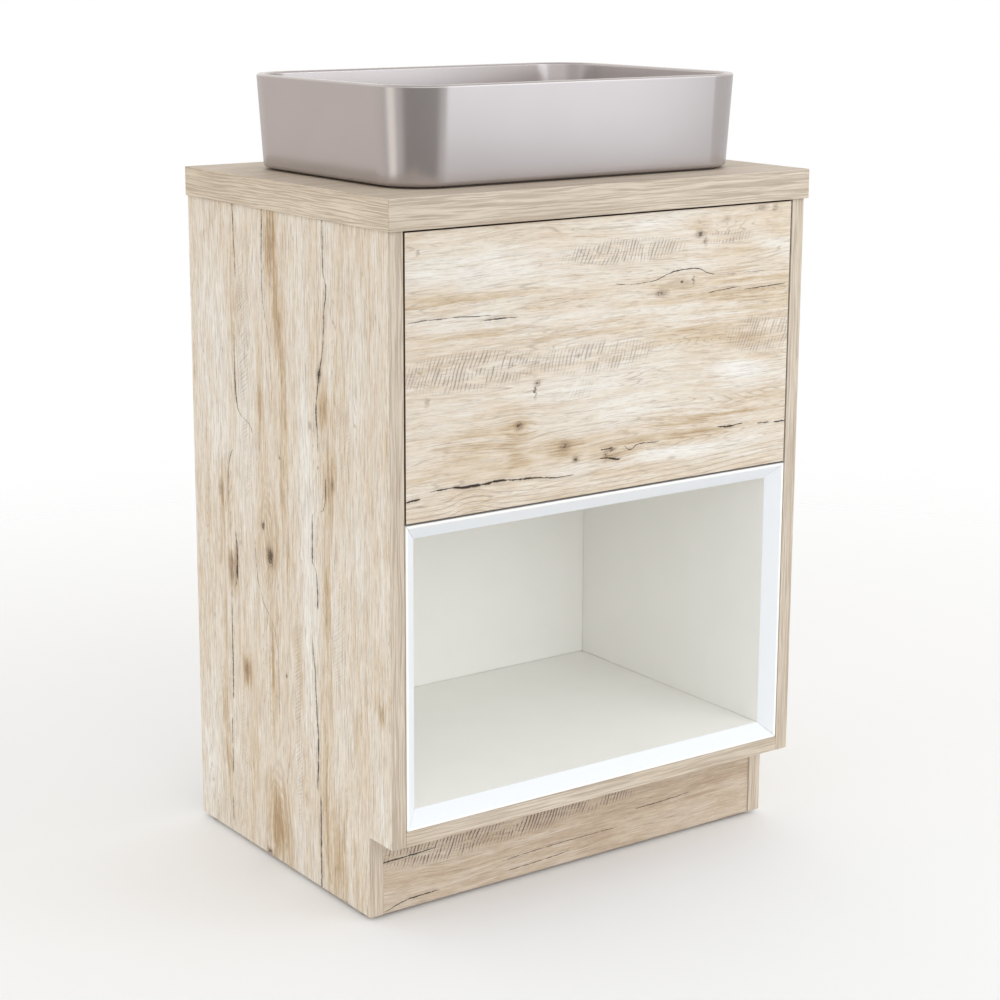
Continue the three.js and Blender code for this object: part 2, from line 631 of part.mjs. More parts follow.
// ---------------------------------------------------------------- basin
// A rounded rectangle of points at one height, counter-clockwise from above.
function roundedRing(halfX, halfY, radius, height) {
  const points = [];
  const corners = [[1, 1], [-1, 1], [-1, -1], [1, -1]];
  corners.forEach(([signX, signY], quarter) => {
    for (let i = 0; i <= CORNER_STEPS; i++) {
      const angle = ((quarter + i / CORNER_STEPS) * Math.PI) / 2;
      const x = signX * (halfX - radius) + radius * Math.cos(angle);
      const y = signY * (halfY - radius) + radius * Math.sin(angle);
      points.push(new THREE.Vector3(x, y, height));
    }
  });
  return points;
}

// The basin's outline at a height, drawn in from the rim's outline by the taper and an inset.
function basinRing(inset, height) {
  const taper = (BASIN_TAPER * (BASIN_TOP - height)) / BASIN_HEIGHT;
  const drawnIn = taper + inset;
  const radius = Math.max(BASIN_CORNER - drawnIn, BASIN_CORNER / 4);
  return roundedRing(BASIN_WIDTH / 2 - drawnIn, BASIN_DEPTH / 2 - drawnIn, radius, height);
}

function makeBasinBowl() {
  const outside = loft([
    basinRing(BASIN_FOOT_ROUND, BASIN_BASE),
    basinRing(BASIN_FOOT_ROUND / 3, BASIN_BASE + BASIN_FOOT_ROUND / 3),
    basinRing(0, BASIN_BASE + BASIN_FOOT_ROUND),
    basinRing(0, BASIN_TOP - BASIN_RIM_ROUND),
    basinRing(BASIN_RIM_ROUND / 3, BASIN_TOP - BASIN_RIM_ROUND / 3),
    basinRing(BASIN_RIM_ROUND, BASIN_TOP),
  ]);
  const inside = [];
  for (let i = COVE_STEPS; i >= 0; i--) {
    const angle = ((i / COVE_STEPS) * Math.PI) / 2;
    const inset = BASIN_WALL + BASIN_COVE * (1 - Math.cos(angle));
    inside.push(basinRing(inset, BOWL_FLOOR + BASIN_COVE * (1 - Math.sin(angle))));
  }
  inside.push(basinRing(BASIN_WALL, BASIN_TOP - BASIN_RIM_ROUND));
  inside.push(basinRing(BASIN_WALL - BASIN_RIM_ROUND, BASIN_TOP + OVERCUT));
  const lowest = WASTE_FLANGE / 2 + SEAM;
  const fall = loft([
    roundedRing(lowest, lowest, BASIN_FALL_CORNER, BOWL_FLOOR - BASIN_FALL),
    basinRing(BASIN_WALL + BASIN_COVE, BOWL_FLOOR + SEAM),
  ]);
  const hole = rod(BASIN_HOLE / 2, BASIN_BASE - OVERCUT, BOWL_FLOOR + OVERCUT);
  return piece("basin_bowl", shaped([outside], [loft(inside), fall, hole]), GLAZE);
}

function makeBasinSeal() {
  const low = WORKTOP_HEIGHT + SEAM;
  const high = BASIN_BASE - SEAM;
  const outer = loft([basinRing(SEAT_INSET, low), basinRing(SEAT_INSET, high)]);
  const reach = SEAT_INSET + SEAT_WIDTH;
  const inner = loft([basinRing(reach, low - OVERCUT), basinRing(reach, high + OVERCUT)]);
  return piece("basin_seal", shaped([outer], [inner]), SEALANT);
}

// ---------------------------------------------------------------- waste
// A flanged tube through the basin and worktop, with a bar across its bore that guides the plug.
function makeWasteBody() {
  const outer = WASTE_TUBE / 2;
  const bore = WASTE_BORE / 2;
  const flange = WASTE_FLANGE / 2;
  const shell = turned([
    [bore, TUBE_END],
    [outer, TUBE_END],
    [outer, FLANGE_BASE],
    [flange, FLANGE_BASE],
    [flange, FLANGE_TOP - WASTE_FLANGE_THICKNESS / 2],
    [flange - WASTE_FLANGE_THICKNESS / 2, FLANGE_TOP],
    [bore, FLANGE_TOP],
  ]);
  const guideTop = FLANGE_TOP - GUIDE_LENGTH;
  const guideFoot = guideTop - GUIDE_LENGTH;
  const bar = new THREE.BoxGeometry(bore + outer, GUIDE_BAR, GUIDE_LENGTH); // ends inside the wall
  bar.translate(0, 0, (guideTop + guideFoot) / 2);
  const bush = rod(GUIDE_DIAMETER / 2, guideFoot, guideTop);
  const hole = rod(STEM_DIAMETER / 2 + STEM_FIT, guideFoot - OVERCUT, guideTop + OVERCUT);
  return piece("waste_body", shaped([shell, bar, bush], [hole]), CHROME);
}

function makeWastePlug() {
  const base = FLANGE_TOP + SEAM;
  const radius = PLUG_DIAMETER / 2;
  const stem = STEM_DIAMETER / 2;
  const geometry = turned([
    [0, base - STEM_LENGTH],
    [stem, base - STEM_LENGTH],
    [stem, base],
    [radius, base],
    [radius, base + PLUG_THICKNESS / 2],
    [radius - PLUG_THICKNESS / 2, base + PLUG_THICKNESS],
    [0, base + PLUG_THICKNESS],
  ]);
  return piece("waste_plug", geometry, CHROME);
}

// An eight-sided prism about the Z axis.
function eightSided(flats, low, high) {
  const radius = nutRadius(flats);
  const prism = new THREE.CylinderGeometry(radius, radius, high - low, 8);
  return prism.rotateX(Math.PI / 2).translate(0, 0, (low + high) / 2);
}

function makeWaste() {
  const washerBore = WASTE_TUBE / 2 + THREAD_FIT;
  const washerFoot = WASHER_TOP - WASHER_THICKNESS;
  const nutFoot = BACKNUT_TOP - BACKNUT_THICKNESS;
  const nutBody = eightSided(BACKNUT_FLATS, nutFoot, BACKNUT_TOP);
  const nutBore = rod(washerBore, nutFoot - OVERCUT, BACKNUT_TOP + OVERCUT);
  const washer = tube(washerBore, WASHER_DIAMETER / 2, washerFoot, WASHER_TOP);
  return group(
    makeWasteBody(),
    makeWastePlug(),
    piece("waste_washer", washer, RUBBER),
    piece("waste_backnut", shaped([nutBody], [nutBore]), CHROME),
  );
}

// ---------------------------------------------------------------- bottle trap
// A slip nut about the Z axis: its upper part screws on a thread, its lower lip holds the pipe.
function slipNut(thread, low, high) {
  const flats = thread + 2 * NUT_WALL;
  const wide = rod(thread / 2 + THREAD_FIT, low + NUT_LIP, high + OVERCUT);
  const narrow = rod(PIPE_DIAMETER / 2 + THREAD_FIT, low - OVERCUT, high);
  return shaped([eightSided(flats, low, high)], [wide, narrow]);
}

function makeTrapBody() {
  const radius = TRAP_DIAMETER / 2;
  const neck = TRAP_NECK_DIAMETER / 2;
  const bore = PIPE_DIAMETER / 2 + THREAD_FIT;
  const neckTop = TRAP_TOP + TRAP_NECK_HEIGHT;
  const body = turned([
    [0, TRAP_FOOT],
    [radius, TRAP_FOOT],
    [radius, TRAP_TOP],
    [neck, TRAP_TOP],
    [neck, neckTop],
    [0, neckTop],
  ]);
  const spigot = towardsBack(rod(neck, 0, SPIGOT_END), OUTLET_HEIGHT);
  const chamber = rod(radius - TRAP_WALL, TRAP_FOOT - OVERCUT, TRAP_TOP - TRAP_WALL);
  const inlet = rod(bore, TRAP_TOP - TRAP_WALL - OVERCUT, neckTop + OVERCUT);
  const outlet = towardsBack(rod(bore, 0, SPIGOT_END + OVERCUT), OUTLET_HEIGHT);
  return piece("trap_body", shaped([body, spigot], [chamber, inlet, outlet]), WHITE_PLASTIC);
}

function makeTrapCup() {
  const inner = CUP_RADIUS - CUP_WALL;
  const geometry = turned([
    [0, CUP_FOOT],
    [CUP_RADIUS - CUP_WALL, CUP_FOOT],
    [CUP_RADIUS, CUP_FOOT + CUP_WALL],
    [CUP_RADIUS, CUP_TOP],
    [inner, CUP_TOP],
    [inner, CUP_FOOT + CUP_WALL],
    [0, CUP_FOOT + CUP_WALL],
  ]);
  return piece("trap_cup", geometry, WHITE_PLASTIC);
}

function makeTrap() {
  const pipe = PIPE_DIAMETER / 2;
  const bore = pipe - PIPE_WALL;
  const inletPipe = tube(bore, pipe, TRAP_FOOT, TUBE_END + PIPE_IN_WASTE);
  const outletPipe = tube(bore, pipe, TRAP_DIAMETER / 2, CABINET_BACK - OUTLET_STOP);
  const tailNut = slipNut(WASTE_TUBE, TUBE_END - NUT_LENGTH / 2, TUBE_END + NUT_LENGTH / 2);
  const neckTop = TRAP_TOP + TRAP_NECK_HEIGHT;
  const neckNut = slipNut(TRAP_NECK_DIAMETER, -neckTop - NUT_OVERRUN, -TRAP_TOP - SEAM);
  const nutFoot = TRAP_DIAMETER / 2 + THREAD_FIT;
  const outletNut = slipNut(TRAP_NECK_DIAMETER, -SPIGOT_END - NUT_OVERRUN, -nutFoot);
  return group(
    piece("trap_inlet_pipe", inletPipe, WHITE_PLASTIC),
    piece("trap_tail_nut", tailNut, WHITE_PLASTIC),
    piece("trap_neck_nut", neckNut.rotateX(Math.PI), WHITE_PLASTIC),
    makeTrapBody(),
    makeTrapCup(),
    piece("trap_outlet_nut", towardsBack(outletNut.rotateX(Math.PI), OUTLET_HEIGHT), WHITE_PLASTIC),
    piece("trap_outlet_pipe", towardsBack(outletPipe, OUTLET_HEIGHT), WHITE_PLASTIC),
  );
}

// ---------------------------------------------------------------- the whole unit
const unit = group(
  makeWorktop(),
  makeSide("left", -1),
  makeSide("right", 1),
  makeBottom(),
  makeRails(),
  makeGlides(),
  makeNiche(),
  makeBrackets(),
  makeRunner("left", -1),
  makeRunner("right", 1),
  makeDrawer(),
  makeLatch(),
  makeBasinBowl(),
  makeBasinSeal(),
  makeWaste(),
  makeTrap(),
);

export default unit;
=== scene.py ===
"""A bathroom vanity with a vessel basin: finishes, finer pieces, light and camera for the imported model."""

import json
import math

import bmesh
import bpy
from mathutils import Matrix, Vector

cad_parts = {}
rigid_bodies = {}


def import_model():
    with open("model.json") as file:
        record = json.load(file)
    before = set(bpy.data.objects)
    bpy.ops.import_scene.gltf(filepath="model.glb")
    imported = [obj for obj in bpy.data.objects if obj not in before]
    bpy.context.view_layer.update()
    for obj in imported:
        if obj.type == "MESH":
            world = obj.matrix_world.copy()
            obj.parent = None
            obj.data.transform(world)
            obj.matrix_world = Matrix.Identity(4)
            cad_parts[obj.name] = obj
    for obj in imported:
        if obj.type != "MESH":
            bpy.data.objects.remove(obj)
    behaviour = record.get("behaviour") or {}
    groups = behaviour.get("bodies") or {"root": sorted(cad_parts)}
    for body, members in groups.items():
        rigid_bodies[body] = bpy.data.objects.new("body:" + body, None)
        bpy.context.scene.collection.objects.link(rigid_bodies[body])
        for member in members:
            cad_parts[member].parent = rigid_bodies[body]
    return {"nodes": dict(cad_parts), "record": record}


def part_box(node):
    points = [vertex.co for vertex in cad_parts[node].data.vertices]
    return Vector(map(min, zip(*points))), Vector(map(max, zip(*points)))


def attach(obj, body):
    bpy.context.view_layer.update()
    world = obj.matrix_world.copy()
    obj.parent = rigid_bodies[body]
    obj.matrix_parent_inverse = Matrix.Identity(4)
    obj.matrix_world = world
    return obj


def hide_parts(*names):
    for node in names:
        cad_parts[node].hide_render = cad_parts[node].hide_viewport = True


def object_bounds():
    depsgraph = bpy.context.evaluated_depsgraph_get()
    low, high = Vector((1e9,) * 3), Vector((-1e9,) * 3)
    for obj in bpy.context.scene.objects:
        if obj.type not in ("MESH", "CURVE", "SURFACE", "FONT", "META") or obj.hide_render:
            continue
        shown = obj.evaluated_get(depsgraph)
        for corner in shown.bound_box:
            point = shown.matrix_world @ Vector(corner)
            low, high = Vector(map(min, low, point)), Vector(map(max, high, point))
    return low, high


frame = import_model()
NODES = frame["nodes"]
CAD_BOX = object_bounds()
MM = 0.001
FULL_TURN = 2 * math.pi
EIGHTH = FULL_TURN / 8


# ------------------------------------------------------------------ colours
def linear(r, g, b):
    """An 8-bit display colour as a scene-linear one with alpha."""

    def channel(c):
        c /= 255
        return c / 12.92 if c <= 0.04045 else ((c + 0.055) / 1.055) ** 2.4

    return (channel(r), channel(g), channel(b), 1.0)


# ------------------------------------------------------------------ shader arithmetic
class Field:
    """An output socket that can be used in sums."""

    def __init__(self, net, socket):
        self.net = net
        self.socket = socket

    def __add__(self, other):
        return self.net.math("ADD", self, other)

    def __sub__(self, other):
        return self.net.math("SUBTRACT", self, other)

    def __rsub__(self, other):
        return self.net.math("SUBTRACT", other, self)

    def __mul__(self, other):
        return self.net.math("MULTIPLY", self, other)

    def __truediv__(self, other):
        return self.net.math("DIVIDE", self, other)

    __radd__ = __add__
    __rmul__ = __mul__


class Net:
    """The node tree of a material or a world, built by short calls. Lengths are in millimetres."""

    def __init__(self, owner):
        self.owner = owner
        owner.use_nodes = True
        self.nodes = owner.node_tree.nodes
        self.links = owner.node_tree.links
        self.nodes.clear()

    def add(self, kind, **settings):
        node = self.nodes.new("ShaderNode" + kind)
        for key, value in settings.items():
            setattr(node, key, value)
        return node

    def feed(self, socket, value):
        if isinstance(value, Field):
            self.links.new(value.socket, socket)
        elif value is not None:
            socket.default_value = value

    def math(self, operation, a, b=None):
        node = self.add("Math", operation=operation)
        for socket, value in zip(node.inputs, (a, b)):
            self.feed(socket, value)
        return Field(self, node.outputs[0])

    def place(self):
        """The point on the object, in millimetres, as x, y and z."""
        coords = self.add("TexCoord")
        split = self.add("SeparateXYZ")
        self.links.new(coords.outputs["Object"], split.inputs[0])
        return [Field(self, out) * (1 / MM) for out in split.outputs]

    def facing(self, axis):
        """How squarely the surface faces along an axis of the object, 0 to 1."""
        geometry = self.add("NewGeometry")
        turned = self.add("VectorTransform", vector_type="NORMAL", convert_from="WORLD", convert_to="OBJECT")
        self.links.new(geometry.outputs["True Normal"], turned.inputs[0])
        split = self.add("SeparateXYZ")
        self.links.new(turned.outputs[0], split.inputs[0])
        return self.math("ABSOLUTE", Field(self, split.outputs[axis]))

    def vector(self, x, y, z):
        node = self.add("CombineXYZ")
        for socket, value in zip(node.inputs, (x, y, z)):
            self.feed(socket, value)
        return Field(self, node.outputs[0])

    def noise(self, vector, detail=2.0, roughness=0.5, scale=1.0):
        """Noise from 0 to 1. vector times scale is in cycles."""
        node = self.add("TexNoise", noise_dimensions="3D")
        self.feed(node.inputs["Vector"], vector)
        node.inputs["Scale"].default_value = scale
        node.inputs["Detail"].default_value = detail
        node.inputs["Roughness"].default_value = roughness
        return Field(self, node.outputs[0])

    def figure(self, layer, u, v, w):
        """Noise drawn out along the grain, by one row of OAK_FIGURE or PLAIN_FIGURE."""
        along, across, through, detail, roughness = layer
        return self.noise(self.vector(u * along, v * across, w * through), detail, roughness)

    def step(self, value, low, high, out_low=0.0, out_high=1.0):
        """value eased from out_low at low to out_high at high."""
        node = self.add("MapRange", interpolation_type="SMOOTHSTEP")
        for socket, fed in zip(node.inputs, (value, low, high, out_low, out_high)):
            self.feed(socket, fed)
        return Field(self, node.outputs[0])

    def curve(self, value, low, high, points, out_low, out_high):
        """A curve through (value, result) points."""
        node = self.add("FloatCurve")
        line = node.mapping.curves[0]
        scaled = [((p - low) / (high - low), (q - out_low) / (out_high - out_low)) for p, q in points]
        while len(line.points) < len(scaled):
            line.points.new(0.5, 0.5)
        for point, (p, q) in zip(line.points, scaled):
            point.location = (p, q)
            point.handle_type = "AUTO_CLAMPED"
        node.mapping.use_clip = False
        node.mapping.update()
        self.feed(node.inputs["Value"], (value - low) / (high - low))
        return Field(self, node.outputs[0]) * (out_high - out_low) + out_low

    def ramp(self, value, *stops):
        node = self.add("ValToRGB")
        marks = node.color_ramp.elements
        while len(marks) < len(stops):
            marks.new(0.5)
        for mark, (place, colour) in zip(marks, stops):
            mark.position = place
            mark.color = colour
        self.feed(node.inputs[0], value)
        return Field(self, node.outputs[0])

    def mix(self, a, b, amount, blend="MIX"):
        node = self.add("Mix", data_type="RGBA", blend_type=blend)
        self.feed(node.inputs[0], amount)
        self.feed(node.inputs[6], a)
        self.feed(node.inputs[7], b)
        return Field(self, node.outputs[2])

    def finish(self, colour, roughness, height=None, bump=0.1, **constants):
        """The surface shader. height is in millimetres times bump."""
        shader = self.add("BsdfPrincipled")
        self.feed(shader.inputs["Base Color"], colour)
        self.feed(shader.inputs["Roughness"], roughness)
        for name, value in constants.items():
            shader.inputs[name.replace("_", " ")].default_value = value
        if height is not None:
            node = self.add("Bump")
            node.inputs["Distance"].default_value = bump * MM
            self.feed(node.inputs["Height"], height)
            self.links.new(node.outputs[0], shader.inputs["Normal"])
        out = self.add("OutputMaterial")
        self.links.new(shader.outputs[0], out.inputs[0])
        return self.owner


def new_net(name):
    return Net(bpy.data.materials.new(name))


# ------------------------------------------------------------------ oak
WHITE = linear(240, 237, 230)
PALE = linear(233, 226, 214)
CREAM = linear(225, 211, 191)
TAN = linear(210, 189, 158)
BROWN = linear(182, 152, 115)
UMBER = linear(136, 112, 88)
DARK = linear(52, 38, 30)
GREY = linear(188, 177, 168)
FIBRE = linear(176, 155, 132)

# Each row: cycles per mm along the grain, across it and through the board, then detail and roughness.
OAK_FIGURE = {
    "ragged": (0.12, 0.3, 0.1, 3.0, 0.6),
    "cloudy": (0.009, 0.055, 0.02, 3.0, 0.6),
    "sway": (0.004, 0.008, 0.01, 2.0, 0.5),
    "bands": (0.0026, 0.026, 0.02, 3.0, 0.6),
    "mottle": (0.017, 0.055, 0.05, 3.0, 0.6),
    "streaks": (0.006, 0.20, 0.05, 4.0, 0.65),
    "fleck": (0.085, 0.30, 0.1, 4.0, 0.72),
    "dashes": (0.028, 0.58, 0.3, 3.0, 0.65),
    "hairs": (0.055, 1.10, 0.4, 3.0, 0.65),
    "growth": (0.0022, 0.034, 0.01, 2.0, 0.45),
    "shown": (0.012, 0.09, 0.02, 2.0, 0.5),
    "wander": (0.02, 0.02, 1.0, 1.0, 0.5),
    "thin": (0.5, 0.5, 1.0, 2.0, 0.6),
    "worn": (0.03, 0.10, 0.1, 2.0, 0.6),
}
PLAIN_FIGURE = {
    "sway": (0.010, 0.03, 0.02, 3.0, 0.5),
    "bands": (0.004, 0.05, 0.03, 3.0, 0.5),
    "lines": (0.011, 0.62, 0.2, 1.0, 0.5),
    "pores": (0.03, 1.1, 0.3, 2.0, 0.6),
}
KNOT_EDGE = {"outer": 1.6}
STAIN_EDGE = {"outer": 1.25}
SAW_EDGE = {"inner": 0.6, "outer": 1.1}


class Board:
    """A rustic oak board's figure: u runs along the grain, v across it and w through the board.

    A board's marks are set before build is called. Each is a field from 0 to 1, or None.
    """

    knots = None
    cracks = None
    stains = None
    pales = None
    saws = None
    waves = None
    rings = None
    # edges: a dark colour painted on the board's edge faces as painted shade, or None.
    edges = None
    bulges = ()
    fibre = 0.40
    flecks = 0.4
    greyed = 0.0
    saw_slant = -0.36
    saw_gap = 5.0
    saw_weight = 0.64
    saw_colour = linear(140, 122, 110)

    def __init__(self, name, along, across, low, high, tone=0.0, seed=0.0):
        self.net = net = new_net(name)
        place = net.place()
        self.face_axis = 3 - along - across
        self.u = place[along]
        self.v = place[across]
        self.w = place[self.face_axis] + seed
        self.low = low
        self.high = high
        self.tone = tone
        self.ragged = self.layer("ragged", self.v) - 0.5
        self.cloudy = self.layer("cloudy", self.v) - 0.5
        self.spotted = self.bent(self.ragged, 9.0, 5.0)
        self.blurred = self.bent(self.cloudy, 110.0, 22.0)

    def layer(self, name, v):
        return self.net.figure(OAK_FIGURE[name], self.u, v, self.w)

    def bent(self, amount, along, across):
        """The place on the board's face, pushed about by a noise."""
        return self.net.vector(self.u + amount * along, self.v + amount * across, 0.0)

    def spot(self, place, u, v, half_u, half_v, inner=0.0, outer=1.0):
        """1 at (u, v), falling to 0 at an ellipse round it. inner and outer scale where the fall is."""
        net = self.net
        node = net.add("VectorMath", operation="MULTIPLY_ADD")
        net.feed(node.inputs[0], place)
        node.inputs[1].default_value = (1 / half_u, 1 / half_v, 0)
        node.inputs[2].default_value = (-u / half_u, -v / half_v, 0)
        length = net.add("VectorMath", operation="LENGTH")
        net.links.new(node.outputs[0], length.inputs[0])
        return net.step(Field(net, length.outputs["Value"]), outer, inner)

    def spots(self, place, listed, **edges):
        """The strongest of several spots, each (u, v, half_u, half_v, strength)."""
        total = None
        for u, v, half_u, half_v, strength in listed:
            one = self.spot(place, u, v, half_u, half_v, **edges) * strength
            total = one if total is None else self.net.math("MAXIMUM", total, one)
        return total

    def crack(self, *runs):
        """Cracks that don't overlap along the grain. Each run is a list of (u, v, half_width)."""
        net = self.net
        centre = []
        width = []
        for run in sorted(runs, key=lambda r: r[0][0]):
            first, last = run[0], run[-1]
            centre += [(u, v) for u, v, _ in run]
            width += [(first[0] - 2, 0)] + [(u, w) for u, _, w in run] + [(last[0] + 2, 0)]
        low, high = self.low, self.high
        span = [min(v for _, v in centre) - 1, max(v for _, v in centre) + 1]
        line = net.curve(self.u, low, high, centre, *span)
        half = net.curve(self.u, low, high, width, 0.0, 3.0)
        shake = net.noise(net.vector(self.u * 0.15, self.w * 0.1, 3.0), 3.0, 0.6) - 0.5
        off = net.math("ABSOLUTE", self.v - line + shake * 2.0)
        broken = net.noise(net.vector(self.u * 0.07, 7.0, self.w), 3.0, 0.7)
        half = half * net.step(broken, 0.34, 0.6, 0.35, 1.2)
        core = net.step(off / net.math("MAXIMUM", half, 0.001), 1.9, 0.6) * net.step(half, 0.02, 0.22)
        glow = net.step(off, 6.0, 0.0) * net.step(half, 0.0, 1.2) * 0.22
        both = net.math("MAXIMUM", core, glow)
        self.cracks = both if self.cracks is None else net.math("MAXIMUM", self.cracks, both)

    def grain(self):
        """The board's tone and its fine figure, before any marks."""
        net = self.net
        u, v = self.u, self.v
        flow = v + (self.layer("sway", v) - 0.5) * 20.0
        for ku, kv, ru, rv in self.bulges:
            near = self.spot(net.vector(u, v, 0.0), ku, kv, ru, rv)
            flow = flow - (v - kv) * near * 0.55
        bands = self.layer("bands", flow)
        mottle = self.layer("mottle", flow)
        streaks = self.layer("streaks", flow)
        fleck = self.layer("fleck", flow)
        tone = bands * 0.75 + mottle * 0.5 + streaks * 0.6 + fleck * self.flecks + self.cloudy * 0.3
        tone = tone + (self.tone - 0.45 - self.flecks / 2)
        if self.stains is not None:
            tone = tone + self.stains * ((streaks - 0.5) * 2.2 + mottle * 0.4 + 0.32) * 0.62
        if self.pales is not None:
            tone = tone - self.pales * 0.34
        colour = net.ramp(tone, (0.10, WHITE), (0.32, PALE), (0.54, CREAM), (0.78, TAN), (1.0, BROWN))
        dashes = self.layer("dashes", flow)
        deep = net.step(dashes, 0.46, 0.66)
        pale = net.step(dashes, 0.48, 0.32)
        hair = net.step(self.layer("hairs", flow), 0.52, 0.66)
        if self.stains is not None:
            hair = hair * (self.stains * 0.9 + 1.0)
        ring = net.math("PINGPONG", self.layer("growth", flow) * 34.0, 0.5)
        ring = net.step(ring, 0.17, 0.02) * net.step(self.layer("shown", flow), 0.42, 0.66)
        colour = net.mix(colour, GREY, self.greyed)
        colour = net.mix(colour, FIBRE, deep * self.fibre)
        colour = net.mix(colour, WHITE, pale * 0.24)
        colour = net.mix(colour, UMBER, hair * (deep * 0.14 + 0.24))
        colour = net.mix(colour, UMBER, ring * 0.34)
        return colour, dashes * -0.5 - hair * 0.5 - ring * 0.4

    def sawn(self, colour, height):
        """Strokes of the saw across the grain, each with its own length and weight."""
        net = self.net
        u, v, w = self.u, self.v, self.w
        slant = (u + v * self.saw_slant) / self.saw_gap + self.layer("wander", v) * 3.0
        each = net.noise(net.vector(slant * 0.9, v * 0.045, w), 2.0, 0.5)
        thin = self.layer("thin", v)
        wave = net.math("SINE", slant * FULL_TURN)
        sawn = self.saws * net.step(self.layer("worn", v), 0.34, 0.52)
        stroke = net.step(wave + (each - 0.45) * 2.6 + (thin - 0.5) * 1.2, 0.35, 1.1) * sawn
        colour = net.mix(colour, GREY, sawn * net.step(each, 0.35, 0.65) * 0.30)
        colour = net.mix(colour, self.saw_colour, stroke * self.saw_weight)
        return colour, height - stroke * 0.8

    def build(self):
        net = self.net
        u, v = self.u, self.v
        colour, height = self.grain()
        if self.saws is not None:
            colour, height = self.sawn(colour, height)
        if self.waves is not None:
            colour = net.mix(colour, UMBER, self.waves * 0.4)
            height = height - self.waves * 0.4
        if self.rings is not None:
            colour = net.mix(colour, BROWN, self.rings * 0.5)
        if self.knots is not None:
            ring = net.math("SINE", self.knots * 24.0) * 0.5 + 0.5
            halo = net.step(self.knots, 0.0, 0.9)
            colour = net.mix(colour, UMBER, halo * (ring * 0.30 + 0.38))
            split = net.noise(net.vector(u * 0.5, v * 0.35, 2.0), 3.0, 0.7)
            core = net.step(self.knots * (split * 2.0) + self.ragged * 0.9, 0.72, 1.02)
            colour = net.mix(colour, DARK, core * 0.78)
            height = height - core * 1.5
        if self.cracks is not None:
            colour = net.mix(colour, DARK, self.cracks)
            height = height - self.cracks * 2.0
        # Painted shade: faces that don't face out of the board get the edges colour, standing in for the
        # shade in the gaps round the board.
        if self.edges is not None:
            colour = net.mix(colour, self.edges, net.step(net.facing(self.face_axis), 0.8, 0.6))
        rough = net.step(height, -2.0, 0.0, 0.64, 0.52)
        return net.finish(colour, rough, height, 0.12, Specular_IOR_Level=0.35)


